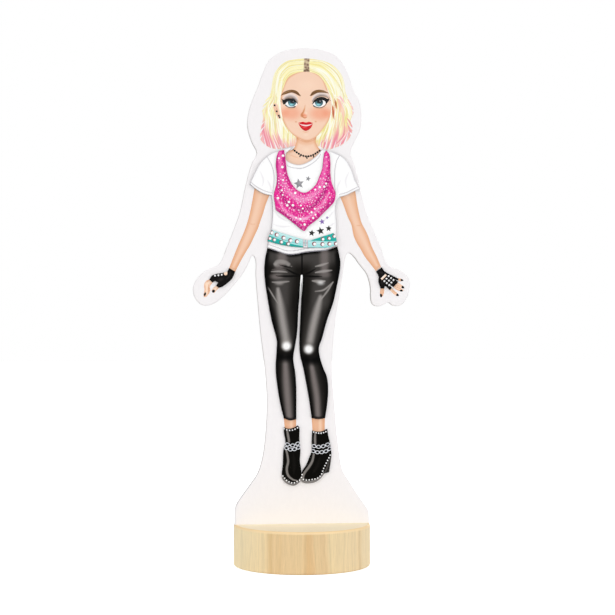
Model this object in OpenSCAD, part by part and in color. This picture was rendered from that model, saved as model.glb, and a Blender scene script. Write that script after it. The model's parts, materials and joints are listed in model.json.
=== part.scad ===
// Magnetic dress-up doll: a die-cut figure board that stands in a slotted wooden disc,
// with thin printed magnets for its clothes. Millimetres, +Z up, the doll looks along -Y.
// The origin is under the middle of the disc, on the surface it stands on.

/* [Doll] */
// Height of the whole doll, from the table to the top of the board
doll_h = 250; // [200:5:300]

/* [Wooden base] */
// Diameter of the disc
base_d = 66; // [60:1:90]
// Height of the disc
base_h = 20; // [16:1:30]
// Radius of the disc's softened edges
base_round = 1; // [0.4:0.2:2]
// Depth of the slot that holds the board
slot_depth = 10; // [6:0.5:12]
// Play of the board in the slot, front and back together
slot_play = 0.2; // [0.1:0.05:0.5]

/* [Figure board] */
// Thickness of the grey board core
core_t = 2.5; // [2:0.1:4]
// Thickness of each paper sheet on the core
sheet_t = 0.25; // [0.15:0.05:0.4]
// Thickness of the steel sheet let into the core
steel_t = 0.3; // [0.2:0.05:0.5]
// How far the steel stays back from the cut edge
steel_edge = 2; // [1.5:0.1:2.5]
// Thickness of the printed colours
ink_t = 0.08; // [0.05:0.01:0.12]

/* [Clothes] */
// Thickness of the flexible magnet behind each piece of clothing
magnet_t = 0.6; // [0.4:0.1:1]
// Thickness of the printed film on the magnet
film_t = 0.15; // [0.1:0.05:0.3]
// Air left under a piece of clothing that lies on another surface
lie_gap = 0.02; // [0.01:0.01:0.05]
// Gap between the hem of the T-shirt and the waist of the leggings
waist_gap = 0.4; // [0.3:0.1:0.8]

/* [Hidden] */

$fn = 96;
// The outlines are drawn for a board this tall above its base, and scaled to doll_h
drawn_h = 230;
scale_up = (doll_h - base_h) / drawn_h;
// Straight steps between two outline points
curve_steps = 4;
// Play of the steel sheet in its pocket
steel_play = 0.05;
// Length by which cuts run past a face
past = 1;

// Planes from back to front: the board is centred in the slot, the clothes lie before it
board_t = core_t + 2 * sheet_t;
back_y = board_t / 2;
core_back_y = back_y - sheet_t;
core_front_y = core_back_y - core_t;
front_y = -board_t / 2;
dress_y = front_y - ink_t - lie_gap;
over_y = dress_y - magnet_t - film_t - lie_gap;

// Colours
wood = [0.91, 0.82, 0.64];
paper = [0.96, 0.95, 0.95];
grey_board = [0.62, 0.6, 0.57];
steel = [0.55, 0.56, 0.58];
skin = [0.96, 0.8, 0.68];
suit_grey = [0.85, 0.84, 0.88];
blonde = [0.98, 0.95, 0.74];
ink_dark = [0.35, 0.22, 0.14];
ink_black = [0.08, 0.07, 0.07];
magnet_black = [0.13, 0.12, 0.12];
white = [0.99, 0.99, 0.99];
magenta = [0.88, 0.1, 0.56];
teal = [0.35, 0.76, 0.72];
leather_black = [0.1, 0.1, 0.1];

// Outlines are [across, up] points as seen from the front, from the middle of the board
// on top of the disc. A third value of 1 makes the point a corner. Each runs clockwise.
foot_w = 65;
board_left = [
    [-32.5, 6.5], [-31.5, 10], [-25.5, 18.5], [-21.5, 24.5], [-19, 33], [-17.5, 46], [-17, 60],
    [-18, 75], [-20, 91], [-21.5, 107], [-22.5, 120], [-22.5, 127], [-24, 129.5], [-25.5, 127],
    [-28, 122], [-32.5, 116], [-37.5, 110.5], [-42.5, 106.5], [-48, 105.5], [-52, 109.5],
    [-52.5, 115], [-49, 120.5], [-44, 123.5], [-40, 125.5], [-36.5, 133.5], [-33, 142.5],
    [-30, 151], [-28, 160.5], [-26, 169], [-24, 175], [-22, 179]
];
board_head = [
    [-24.5, 184.5], [-26.5, 191.5], [-26, 198.5], [-24, 205], [-21.5, 211], [-19, 218],
    [-16, 224], [-10, 228], [-4, 229.5], [1.5, 230], [8, 229.5], [15, 227.5], [20, 222.5],
    [23, 216], [25, 210], [28, 204.5], [29, 196], [28, 190], [25.5, 185], [23.5, 179.5]
];
board_right = [
    [25, 175], [27, 168.5], [29, 159], [31.5, 150], [35, 141.5], [38.5, 133.5], [41, 126.5],
    [44, 124], [49, 122], [52.5, 118], [52.5, 113], [51, 108.5], [48, 105.5], [44.5, 105.5],
    [42, 107], [40, 106], [37.5, 105], [34.5, 106], [33.5, 109.5], [33.5, 113], [33, 116.5],
    [31.5, 121], [28, 125.5], [25, 129.5], [22.5, 131], [21, 128.5], [20, 122.5], [18.5, 113],
    [16.5, 101], [15, 87], [14.5, 74], [15.5, 60], [16.5, 47], [18, 34.5], [19.5, 26], [23, 20],
    [27.5, 13], [31, 8], [32.5, 5]
];
foot_up = -slot_depth / scale_up;
board_points = concat(
    [[-foot_w / 2, foot_up, 1]], board_left, board_head, board_right, [[foot_w / 2, foot_up, 1]]
);

face_points = [
    [2, 218.5], [7, 217.5], [10.5, 214], [12.5, 209.5], [14, 205], [14, 200.5], [13, 195.5],
    [10, 191], [6.5, 187], [2, 186], [-3, 187], [-6.5, 190], [-9, 194], [-10, 198],
    [-10.5, 202], [-10.5, 206.5], [-9, 211], [-7, 215.5], [-2.5, 218]
];
hair_points = [
    [2, 225], [7, 224.5], [11.5, 223.5], [15.5, 221.5], [19, 217.5], [20.5, 213], [21, 209],
    [22.5, 205.5], [24.5, 202], [25, 199], [23.5, 195], [24.5, 192], [24, 189], [22.5, 186],
    [19.5, 183.5], [16, 182], [12, 181], [8, 182.5], [2, 183], [-4, 182.5], [-8.5, 181.5],
    [-12.5, 181], [-16.5, 182], [-20, 185], [-20.5, 187.5], [-20, 191.5], [-19, 196],
    [-19.5, 200], [-18, 204], [-15.5, 207.5], [-14.5, 213.5], [-13.5, 217.5], [-11, 221],
    [-7.5, 223.5], [-3, 224.5]
];
torso_points = [
    [7, 187.5, 1], [6.5, 185], [7.5, 182.5], [9.5, 180.5], [17, 178], [20.5, 175], [22.5, 170],
    [16.5, 164], [14.5, 156], [13.5, 148], [13, 140], [15.5, 132], [17, 126, 1], [-17, 126, 1],
    [-15.5, 132], [-12.5, 140], [-12, 147], [-13, 156], [-15, 164], [-21, 170], [-19, 175],
    [-16, 177.5], [-8.5, 180], [-4.5, 181], [-3, 184.5], [-3, 187.5, 1]
];
left_arm_points = [
    [-13, 170], [-14, 164], [-16.25, 158], [-17.75, 154.25], [-19, 150], [-20, 147.25],
    [-21.5, 142.75], [-23.25, 139], [-25.25, 134.75], [-27.5, 131], [-29.5, 127.5],
    [-32.5, 121.75, 1], [-35.5, 123.25, 1], [-33, 129.75], [-30.75, 135.25], [-28.25, 141],
    [-26.5, 146], [-25.25, 151], [-24.25, 156], [-23.25, 161.5], [-21.5, 169.5], [-18, 175]
];
right_arm_points = [
    [14.5, 170], [19.5, 175], [24, 168], [26, 160], [26.75, 155], [28, 149], [29, 145.5],
    [30.75, 142.25], [32.25, 139], [34, 134], [36.25, 129.5], [38.5, 124.25, 1],
    [36, 122.25, 1], [33, 126], [30.5, 129.25], [28.5, 132.75], [26.5, 136], [25, 139.5],
    [24, 144.5], [22.25, 148.25], [20.25, 153.75], [18.5, 158], [15.5, 164]
];
finger_points = [
    // Left fingers, held together
    [[-42, 118], [-43.5, 116.25], [-44.75, 114.5], [-44.5, 112.5], [-45.5, 110.75],
        [-46.75, 109.5], [-47.75, 110], [-47.25, 113], [-47.5, 115.5], [-46.5, 117.25],
        [-45, 118], [-43.5, 119]],
    // Left thumb
    [[-38.5, 116], [-40.5, 113.75], [-41.75, 112.5], [-42.75, 111.5], [-43.75, 112.25],
        [-43.25, 113.75], [-41.75, 115], [-40, 117]],
    // Right little finger
    [[44.5, 119], [46.75, 118.75], [48.5, 118.5], [49.5, 117.75], [48.75, 117.25],
        [46.75, 117.5], [44.5, 117.5]],
    // Right ring and middle fingers
    [[44.5, 117.5], [46.5, 116.75], [48.25, 115.75], [50, 114.25], [49.25, 112.5],
        [48.5, 112.25], [46, 113.25], [44.5, 114.5], [43, 116]],
    // Right forefinger
    [[42.5, 115.5], [43.75, 114], [45.25, 112.5], [47.25, 110.75], [47, 110], [45.5, 110.5],
        [42.75, 113], [41.5, 114.5]],
    // Right thumb
    [[39.75, 116], [40, 113.75], [40, 112], [39.25, 110], [38.25, 109.5], [38, 111],
        [38.25, 113.75], [38.25, 116]]
];
left_foot_points = [
    [-3, 51.5, 1], [-3, 46], [-2.5, 40], [-2, 32], [-1.5, 26], [-2.5, 21.5], [-5.5, 20],
    [-8, 21.5], [-9, 26], [-9, 32], [-8, 40], [-8.5, 46], [-9, 51.5, 1]
];
right_foot_points = [
    [11, 51.5, 1], [11, 44], [12, 38], [12, 33.5], [10.5, 29], [7.5, 24], [4.5, 21], [2, 21],
    [0.5, 23], [1.5, 27], [4, 32.5], [5, 38], [5, 44], [4.5, 51.5, 1]
];
suit_points = [
    [10.5, 179.5], [12.5, 179], [13, 172], [15, 167], [14, 158], [12.5, 148], [12.5, 141],
    [15, 132], [17.5, 124], [16.5, 115, 1], [0.5, 118, 1], [-1, 118, 1], [-17.5, 115, 1],
    [-17.5, 124], [-15.5, 132], [-12.5, 140], [-11.5, 148], [-12.5, 158], [-13.5, 167],
    [-12.5, 172], [-12.5, 179], [-9.5, 179.5], [-8.5, 173], [-4, 169.5], [1, 168.5], [6, 169.5],
    [10, 173]
];

// The hem is shared by the T-shirt and, a gap lower, by the leggings
hem_points = [
    [17, 134.5, 1], [11.5, 132.5], [6.5, 132], [1.5, 131.5], [-3.5, 130.5], [-8, 130.5],
    [-12.5, 132], [-17, 133.5, 1]
];
tshirt_points = concat(
    // Right shoulder, sleeve and side
    [[9.5, 181, 1], [14, 180], [18, 178.5], [21.5, 175.5], [24, 171], [25.5, 166.5],
        [28, 162, 1], [24.5, 160.5], [21.5, 159], [18, 158, 1], [16.5, 155.5], [16, 151.5],
        [16.5, 145], [16.5, 139]],
    hem_points,
    // Left side, sleeve and shoulder
    [[-16, 138], [-15, 143], [-14.5, 148.5], [-14.5, 153.5], [-15, 158.5, 1], [-19, 159.5],
        [-22.5, 161.5], [-25.5, 164, 1], [-23, 169.5], [-20.5, 174], [-17, 177.5],
        [-13.5, 179.5], [-9, 181], [-4.5, 182, 1]],
    // Neckline
    [[-8, 179, 1], [-8, 176], [-5, 174], [-1, 173.5], [3, 175], [7, 178]]
);
leggings_points = concat(
    [for (i = [len(hem_points) - 1:-1:0]) hem_points[i] - [0, waist_gap / scale_up, 0]],
    // Right leg, outer side down and inner side up
    [[18, 129.5], [18.5, 126], [18, 121], [17, 116], [15, 107], [12, 98.5], [9.5, 89.5],
        [8, 85], [8.5, 80.5], [10, 75.5], [12, 70.5], [12.5, 64], [12, 57.5], [11, 51, 1],
        [8, 50.5], [4.5, 51, 1], [3.5, 58.5], [2, 67], [0.5, 75], [-1, 81], [-1.5, 87],
        [-1, 99.5], [-0.5, 110], [0, 119.5, 1]],
    // Left leg, inner side down and outer side up
    [[-1, 113], [-2, 103.5], [-2.5, 93.5], [-3.5, 86.5], [-4.5, 80], [-3.5, 73], [-3, 65.5],
        [-3, 58], [-3, 50.5, 1], [-6, 50], [-9, 51, 1], [-10.5, 57], [-12, 65.5], [-13, 75],
        [-12.5, 84], [-12.5, 89], [-15, 98.5], [-16.5, 106.5], [-18, 116], [-18.5, 122.5],
        [-18, 128.5]]
);
left_boot_points = [
    [-9, 46.75, 1], [-7.25, 46], [-4.75, 46.25], [-2.25, 47.5, 1], [-1.5, 46.5], [-1.5, 41],
    [-1, 36], [-1.25, 30.5], [-0.75, 26.75], [-0.5, 22], [-1.25, 20.25], [-3.25, 18.75],
    [-5, 18.5], [-8, 19.75], [-9.75, 22], [-10, 24.5], [-9.5, 29], [-9.25, 35.5],
    [-8.25, 39.75], [-9, 44.5]
];
right_boot_points = [
    [4.75, 45, 1], [6.75, 44.5], [9.25, 44.5], [12, 45.75, 1], [12.5, 42.75], [13.5, 38.25],
    [14, 35.5], [14, 32], [13, 24.75, 1], [10.75, 24.25, 1], [10, 23.25], [8.5, 21.5], [6, 20],
    [2.5, 19.5], [0.25, 20], [-1, 22], [-0.5, 24.75], [2, 28.75], [3.5, 32.5], [4.5, 35],
    [4.5, 39.75]
];
left_glove_points = [
    [-35.5, 123.5, 1], [-32.5, 121.75, 1], [-34, 118.5], [-36, 116.5], [-38.75, 114.5],
    [-40.5, 114, 1], [-41.75, 115, 1], [-40.75, 116.5, 1], [-42.25, 117.25, 1],
    [-43.5, 116.5, 1], [-45, 118, 1], [-43.5, 120], [-41, 120.75], [-38.25, 121.25],
    [-36.5, 121.75]
];
right_glove_points = [
    [36, 122, 1], [38.75, 124, 1], [40.25, 122], [43.5, 120.25], [47, 118.5, 1],
    [46.75, 117.25], [46.5, 116.5], [44.5, 114.5], [43.75, 114, 1], [42.75, 113, 1],
    [41.5, 114.25], [40.5, 115], [40, 113.75, 1], [38.25, 113.75, 1], [37.25, 117],
    [37.25, 119.75]
];
scarf_points = [
    // Left strap top, inner edge round to the right strap
    [-11.5, 180, 1], [-9, 180.5, 1], [-8.5, 177.5], [-8, 173.5], [-7.5, 169.5], [-6, 165.5],
    [-4, 162.5], [-1.5, 160.5], [1.5, 160], [4, 161.5], [6.5, 164], [8, 167.5], [9.5, 171.5],
    [10, 175.5], [10.5, 179], [11.5, 180.5, 1],
    // Outer edge down to the point and up again
    [13, 178.5], [13.5, 174.5], [13.5, 170], [14, 165.5], [15, 162.5], [16, 160], [15.5, 156],
    [13.5, 153.5], [10, 150], [7, 147], [2.5, 143.5], [1.5, 142], [0.5, 141.5], [-3.5, 144.5],
    [-8, 148], [-13, 151.5, 1], [-13.5, 155], [-14, 158.5], [-13.5, 161], [-12.5, 165],
    [-12.5, 169], [-13, 173], [-12.5, 177.5]
];
belt_points = [
    [-15, 142, 1], [-10.5, 140.5], [-5.5, 139], [0, 137.5], [3.5, 137], [8.5, 138.5],
    [15, 140.5, 1], [16, 139], [16.5, 137], [17, 135, 1], [12.5, 133.5], [6.5, 133.5],
    [0.5, 133.5], [-6, 134], [-11.5, 135], [-17, 136.5, 1], [-16.5, 138.5]
];

// Features of the face: each has corners at its ends
left_eye = [[-9.25, 203.25, 1], [-5.75, 205.5], [-2.25, 203.25, 1], [-5.5, 201.25]];
right_eye = [[5, 203, 1], [8.5, 205.75], [11.75, 204, 1], [8, 201.5]];
left_brow = [[-10, 207.25, 1], [-5.5, 210.25], [-1, 207, 1], [-5.5, 208.75]];
right_brow = [[4, 207.25, 1], [8, 210.5], [12.5, 208.75, 1], [8, 209]];
lips = [[-1.75, 193.5, 1], [0.75, 194.25], [1.5, 194], [2.25, 194.25], [5, 193.75, 1], [1.5, 190.5]];

// Beads hang in an even curve between the two sides of the neck
bead_r = 0.6;
bead_count = 11;
bead_left = -4;
bead_right = 8;
bead_up = 180.5;
bead_sag = 3;

// A point without its corner mark
function flat_point(p) = [p[0], p[1]];
// The point of a closed outline at any count, backwards or forwards
function at(points, i) = points[(i + len(points)) % len(points)];
// Direction of a smooth outline as it passes point i
function through(points, i) =
    let (d = flat_point(at(points, i + 1)) - flat_point(at(points, i - 1))) d / norm(d);
// How an outline leaves or reaches point i along a straight piece s: corners follow the piece
function heading(points, i, s) = at(points, i)[2] == 1 ? s : through(points, i) * norm(s);
// A point between two outline points, where t runs from 0 to 1
function between(a, b, leave, reach, t) =
    a * (1 - t) * (1 - t) * (1 + 2 * t) + leave * t * (1 - t) * (1 - t)
    + b * t * t * (3 - 2 * t) - reach * t * t * (1 - t);
// A smooth closed outline through the points, at the doll's size
function outline(points) = [
    for (i = [0:len(points) - 1])
        let (a = flat_point(at(points, i)), b = flat_point(at(points, i + 1)), s = b - a)
            for (step = [0:curve_steps - 1])
                between(a, b, heading(points, i, s), heading(points, i + 1, s), step / curve_steps)
                    * scale_up
];
// A clockwise outline drawn in by d all round
function drawn_in(line, d) = [
    for (i = [0:len(line) - 1]) let (t = through(line, i)) line[i] + d * [t[1], -t[0]]
];

// A flat piece cut from sheet: its back lies at back and it is thick towards the front
module cut(back, thick) {
    translate([0, back, base_h])
        rotate([90, 0, 0])
            linear_extrude(thick)
                children();
}

module shape(points) {
    polygon(outline(points));
}

module beads() {
    for (i = [0:bead_count - 1]) {
        t = i / (bead_count - 1);
        across = bead_left + (bead_right - bead_left) * t;
        drop = bead_sag * 4 * t * (1 - t);
        translate([across, bead_up - drop] * scale_up)
            circle(bead_r * scale_up);
    }
}

module face_features() {
    for (feature = [left_eye, right_eye, left_brow, right_brow, lips])
        shape(feature);
}

module bare_figure() {
    leg_in = 0.4;
    for (points = [face_points, torso_points, left_arm_points, right_arm_points])
        shape(points);
    for (points = finger_points)
        shape(points);
    for (points = [leggings_points, left_glove_points, right_glove_points])
        polygon(drawn_in(outline(points), leg_in));
    for (points = [left_foot_points, right_foot_points])
        shape(points);
}

module both_boots() {
    shape(left_boot_points);
    shape(right_boot_points);
}

module garment_magnet(back) {
    color(magnet_black)
        cut(back, magnet_t)
            children();
}

module garment_print(back, tint) {
    color(tint)
        cut(back - magnet_t, film_t)
            children();
}

// The disc's half section, with both edges rounded
module base_section() {
    r = base_d / 2;
    square([r - base_round, base_h]);
    translate([0, base_round])
        square([r, base_h - 2 * base_round]);
    for (up = [base_round, base_h - base_round])
        translate([r - base_round, up])
            circle(base_round);
}

module base_disc() {
    slot_w = board_t + slot_play;
    color(wood)
        difference() {
            rotate_extrude()
                base_section();
            translate([-base_d / 2 - past, -slot_w / 2, base_h - slot_depth])
                cube([base_d + 2 * past, slot_w, slot_depth + past]);
        }
}

module core_board() {
    pocket = drawn_in(outline(board_points), steel_edge - steel_play);
    color(grey_board)
        difference() {
            cut(core_back_y, core_t)
                shape(board_points);
            cut(core_front_y + steel_t, steel_t + past)
                polygon(pocket);
        }
}

module steel_sheet() {
    color(steel)
        cut(core_front_y + steel_t, steel_t)
            polygon(drawn_in(outline(board_points), steel_edge));
}

module front_sheet() {
    color(paper)
        cut(core_front_y, sheet_t)
            shape(board_points);
}

module back_sheet() {
    color(paper)
        cut(back_y, sheet_t)
            shape(board_points);
}

module skin_print() {
    color(skin)
        cut(front_y, ink_t)
            difference() {
                bare_figure();
                shape(suit_points);
                face_features();
                beads();
            }
}

module undersuit_print() {
    color(suit_grey)
        cut(front_y, ink_t)
            shape(suit_points);
}

module hair_print() {
    color(blonde)
        cut(front_y, ink_t)
            difference() {
                shape(hair_points);
                shape(face_points);
                shape(torso_points);
                beads();
            }
}

module face_print() {
    color(ink_dark)
        cut(front_y, ink_t)
            face_features();
}

module necklace_print() {
    color(ink_black)
        cut(front_y, ink_t)
            beads();
}

module tshirt_magnet() {
    garment_magnet(dress_y)
        shape(tshirt_points);
}

module tshirt_print() {
    garment_print(dress_y, white)
        shape(tshirt_points);
}

module scarf_magnet() {
    garment_magnet(over_y)
        shape(scarf_points);
}

module scarf_print() {
    garment_print(over_y, magenta)
        shape(scarf_points);
}

module belt_magnet() {
    garment_magnet(over_y)
        shape(belt_points);
}

module belt_print() {
    garment_print(over_y, teal)
        shape(belt_points);
}

module leggings_magnet() {
    garment_magnet(dress_y)
        shape(leggings_points);
}

module leggings_print() {
    garment_print(dress_y, leather_black)
        shape(leggings_points);
}

module boots_magnet() {
    garment_magnet(dress_y)
        both_boots();
}

module boots_print() {
    garment_print(dress_y, leather_black)
        both_boots();
}

module left_glove_magnet() {
    garment_magnet(dress_y)
        shape(left_glove_points);
}

module left_glove_print() {
    garment_print(dress_y, leather_black)
        shape(left_glove_points);
}

module right_glove_magnet() {
    garment_magnet(dress_y)
        shape(right_glove_points);
}

module right_glove_print() {
    garment_print(dress_y, leather_black)
        shape(right_glove_points);
}

base_disc();
core_board();
steel_sheet();
front_sheet();
back_sheet();
skin_print();
undersuit_print();
hair_print();
face_print();
necklace_print();
tshirt_magnet();
tshirt_print();
scarf_magnet();
scarf_print();
belt_magnet();
belt_print();
leggings_magnet();
leggings_print();
boots_magnet();
boots_print();
left_glove_magnet();
left_glove_print();
right_glove_magnet();
right_glove_print();
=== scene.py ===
"""Looks of a magnetic dress-up doll: a printed figure board in a pine disc, with printed magnet clothes.

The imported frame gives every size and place. The prints are drawn in millimetres on a page that lies
on the front of the board: across from its middle, and up from the top of the disc.
"""

import json
import math
from collections import namedtuple

import bmesh
import bpy
import numpy as np
from bpy.props import FloatProperty, FloatVectorProperty, IntProperty, PointerProperty
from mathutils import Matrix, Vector, geometry, kdtree

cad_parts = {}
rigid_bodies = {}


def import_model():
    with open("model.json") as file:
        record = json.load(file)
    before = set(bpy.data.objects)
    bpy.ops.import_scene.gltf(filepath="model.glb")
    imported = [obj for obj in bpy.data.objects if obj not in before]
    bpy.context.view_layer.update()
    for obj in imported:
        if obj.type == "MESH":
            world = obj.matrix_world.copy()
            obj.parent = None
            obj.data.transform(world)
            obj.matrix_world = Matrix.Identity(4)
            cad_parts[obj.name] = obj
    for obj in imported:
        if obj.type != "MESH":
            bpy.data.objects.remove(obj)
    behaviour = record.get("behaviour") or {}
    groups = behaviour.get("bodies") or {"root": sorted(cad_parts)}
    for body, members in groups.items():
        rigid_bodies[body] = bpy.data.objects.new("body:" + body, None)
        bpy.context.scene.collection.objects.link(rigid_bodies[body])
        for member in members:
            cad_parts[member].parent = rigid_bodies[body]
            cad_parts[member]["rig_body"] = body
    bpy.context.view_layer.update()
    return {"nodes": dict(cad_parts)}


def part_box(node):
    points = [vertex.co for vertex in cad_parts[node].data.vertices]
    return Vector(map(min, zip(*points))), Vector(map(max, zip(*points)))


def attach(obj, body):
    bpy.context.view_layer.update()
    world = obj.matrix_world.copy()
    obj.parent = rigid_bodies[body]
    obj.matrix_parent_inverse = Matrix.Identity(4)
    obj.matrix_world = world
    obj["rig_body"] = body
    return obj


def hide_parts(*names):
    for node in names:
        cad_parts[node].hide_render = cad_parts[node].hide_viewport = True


bl_info = {
    "name": "Magnetic dress-up doll",
    "version": (1, 0, 0),
    "blender": (4, 5, 0),
    "location": "3D View > Sidebar > Doll",
    "description": "Prints, board, wooden base and stage of a magnetic dress-up doll",
    "category": "Object",
}

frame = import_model()

# The page: drawings are in millimetres, and MM turns them into metres
DRAWN_HEIGHT = 230
DISC_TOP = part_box("base_disc")[1].z
MM = (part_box("front_sheet")[1].z - DISC_TOP) / DRAWN_HEIGHT
CURVE_STEPS = 6
# Points closer than this, in metres, are one point of a CAD mesh
MERGE = 1e-7
# Points closer than this, in millimetres, are one point of a drawing
PAGE_MERGE = 0.004
# Loose points of a film keep this far, in millimetres, from its drawn lines
LINE_CLEARANCE = 0.12
# Distance between the points of a finely drawn shape, in millimetres
FINE = 0.15
# A face whose normal leans this far to a side faces that side
FACING = 0.9
TINY = 1e-9
SEED = 11
# Strength of the bump that the grain gives to a surface
GRAIN_BUMP = 0.6
# Size of the floor in metres, the light it gives off to the eye, and the light of the sky
FLOOR_SIZE = 6
FLOOR_GLOW = 0.6
SKY_LIGHT = 0.46
# Flat steps round a rounded edge, and round the mouth of the disc's slot
ROUND_STEPS = 6
MOUTH_STEPS = 3
# Edges with a sharper turn than this stay sharp
SHARP_TURN = math.radians(35)
# The floor of the slot lies more than this below the disc's top, in metres
SLOT_DROP = 0.001

# How finely the hair locks are followed along and across
LOCK_ROWS = 160
LOCK_COLUMNS = 40
# The least area of a cell between those rows and columns, and how many cells off a place may be
LEAST_CELL = 1e-4
CELLS_OFF = 2
# Strands on each side of the parting, and locks that hang straight down below the jaw
STRANDS = 126
HANGING_LOCKS = 18
# Outlines of the hair locks, from the parting down to the tips
LEFT_INNER = [(0.5, 218.5), (-5.5, 217), (-8.5, 213), (-10, 207.5), (-10.5, 201.5), (-10.5, 195.5),
              (-9, 189.5), (-6.5, 185), (-4, 181.5)]
LEFT_OUTER = [(0.5, 225), (-7, 224), (-12.5, 219.5), (-14.5, 213), (-15.5, 207), (-19, 202),
              (-19.5, 196), (-20.5, 190), (-19.5, 184)]
RIGHT_INNER = [(3.5, 218.5), (8.5, 216), (11.5, 212), (14, 206.5), (14.5, 201.5), (13, 195.5),
               (10.5, 190), (8, 186), (7, 181.5)]
RIGHT_OUTER = [(3.5, 225), (10.5, 224.5), (17.5, 220), (20.5, 214), (21.5, 207.5), (25, 202),
               (24.5, 195.5), (25, 191), (23, 186)]


def ink(name, red, green, blue):
    """A colour that a user may change, from the 0 to 255 values of a print."""
    return FloatVectorProperty(
        name=name,
        description=f"Printed colour of this part of the drawing: {name.lower()}",
        subtype="COLOR_GAMMA",
        size=3,
        min=0,
        max=1,
        default=(red / 255, green / 255, blue / 255),
    )


def length(name, description, millimetres):
    """A length that a user may change, given in millimetres and kept in metres."""
    return FloatProperty(
        name=name, description=description, default=millimetres / 1000, min=0, unit="LENGTH",
        subtype="DISTANCE"
    )


class DollSizes(bpy.types.PropertyGroup):
    """Sizes that the frame doesn't set."""

    edge_roll: length("Edge roll", "Radius of the board's front edge, rolled by the die", 0.55)
    lip_step: length("Lip step", "How far the grey core lies behind the edge of the paper", 0.06)
    disc_round: length("Disc rounding", "Radius of the disc's softened rims", 1.0)
    slot_round: length("Slot rounding", "Rounding along the mouth of the slot", 0.25)
    fine_step: length("Fine print step", "Distance between the points of a finely drawn print", 0.2)
    print_step: length("Print step", "Distance between the points of a print", 0.34)
    plain_step: length("Plain print step", "Distance between the points of a plainly drawn print", 0.5)
    camera_distance: length("Camera distance", "From the camera to the board", 800)
    camera_height: length("Camera height", "Height of the camera above the table", 124.5)
    camera_across: length("Camera across", "How far right of the middle the camera points", 2.7)
    camera_turn: FloatProperty(
        name="Camera turn", description="Angle by which the camera stands to the left",
        default=math.radians(6.5),
        subtype="ANGLE"
    )
    lens: FloatProperty(
        name="Lens", description="Focal length of the camera, in millimetres", default=96.6,
        subtype="DISTANCE_CAMERA"
    )
    disc_sides: IntProperty(name="Disc sides", description="Straight sides of the turned disc", default=192)


class DollColours(bpy.types.PropertyGroup):
    """Colours of the prints."""

    skin: ink("Skin", 246, 209, 184)
    skin_light: ink("Skin light", 253, 223, 199)
    skin_edge: ink("Skin edge", 231, 172, 132)
    skin_deep: ink("Skin deep", 208, 132, 88)
    blush: ink("Blush", 241, 158, 126)
    hair: ink("Hair", 253, 246, 196)
    hair_light: ink("Hair light", 255, 254, 240)
    hair_yellow: ink("Hair yellow", 249, 238, 162)
    hair_shade: ink("Hair shade", 238, 225, 146)
    hair_deep: ink("Hair deep", 226, 212, 146)
    hair_pink: ink("Hair pink", 248, 178, 188)
    hair_rose: ink("Hair rose", 234, 128, 150)
    roots: ink("Hair roots", 188, 164, 138)
    roots_deep: ink("Hair roots deep", 92, 68, 52)
    brow: ink("Brows", 122, 84, 46)
    lash: ink("Lashes", 8, 6, 8)
    eye_white: ink("Eye white", 252, 252, 252)
    iris: ink("Iris", 92, 156, 170)
    iris_deep: ink("Iris deep", 40, 54, 58)
    iris_light: ink("Iris light", 150, 214, 224)
    lid: ink("Eye shadow", 142, 140, 150)
    lid_light: ink("Eye shadow light", 232, 222, 222)
    lips: ink("Lips", 214, 28, 38)
    lips_deep: ink("Lips deep", 168, 14, 26)
    lips_light: ink("Lips light", 242, 122, 118)
    white: ink("White", 254, 254, 254)
    line: ink("Drawn line", 176, 172, 178)
    soft_grey: ink("Soft grey", 232, 230, 234)
    grey_motif: ink("Grey motif", 140, 140, 144)
    violet_motif: ink("Violet motif", 136, 108, 176)
    suit: ink("Undersuit", 218, 214, 226)
    suit_line: ink("Undersuit line", 160, 152, 178)
    scarf: ink("Scarf", 230, 24, 144)
    scarf_light: ink("Scarf light", 247, 146, 196)
    sequin: ink("Sequin", 249, 196, 225)
    scarf_deep: ink("Scarf deep", 186, 0, 122)
    belt_light: ink("Belt light", 170, 226, 226)
    belt_dark: ink("Belt dark", 6, 174, 164)
    stud_shade: ink("Stud shade", 132, 72, 80)
    leather: ink("Leather", 20, 18, 16)
    leather_edge: ink("Leather edge", 2, 2, 2)
    leather_glow: ink("Leather glow", 70, 67, 65)
    leather_sheen: ink("Leather sheen", 120, 112, 110)
    leather_light: ink("Leather light", 158, 153, 150)
    boot: ink("Boot", 9, 8, 6)
    boot_sheen: ink("Boot sheen", 134, 129, 126)
    sole: ink("Sole", 138, 134, 132)
    chain: ink("Chain", 206, 210, 220)
    glove: ink("Glove", 20, 18, 18)
    film: ink("Film edge", 240, 240, 240)


# Lines on the page


def heading(spots, i):
    """Direction of a smooth line as it passes spot i."""
    way = spots[(i + 1) % len(spots)] - spots[i - 1]
    return way / np.linalg.norm(way)


def smooth(points, closed=True):
    """A smooth line through the points. A point that has a third value is a corner."""
    spots = np.array([point[:2] for point in points], float)
    corner = [len(point) > 2 for point in points]
    if not closed:
        corner[0] = True
        corner[-1] = True
    t = np.linspace(0, 1, CURVE_STEPS, endpoint=False)[:, None]
    line = []
    for i in range(len(spots) if closed else len(spots) - 1):
        j = (i + 1) % len(spots)
        straight = spots[j] - spots[i]
        size = np.linalg.norm(straight)
        leave = straight if corner[i] else heading(spots, i) * size
        reach = straight if corner[j] else heading(spots, j) * size
        start = spots[i] * (1 - t) ** 2 * (1 + 2 * t) + leave * t * (1 - t) ** 2
        line.append(start + spots[j] * t**2 * (3 - 2 * t) - reach * t**2 * (1 - t))
    if not closed:
        line.append(spots[-1:])
    return np.concatenate(line)


def evenly(path, count):
    """A count of points at even distances along an open path."""
    run = np.concatenate([[0], np.cumsum(np.linalg.norm(np.diff(path, axis=0), axis=1))])
    wanted = np.linspace(0, run[-1], count)
    return np.column_stack([np.interp(wanted, run, path[:, 0]), np.interp(wanted, run, path[:, 1])])


def spaced(points, count):
    """A count of places at even distances along a smooth open line through the points."""
    return evenly(smooth(points, closed=False), count)


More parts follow.
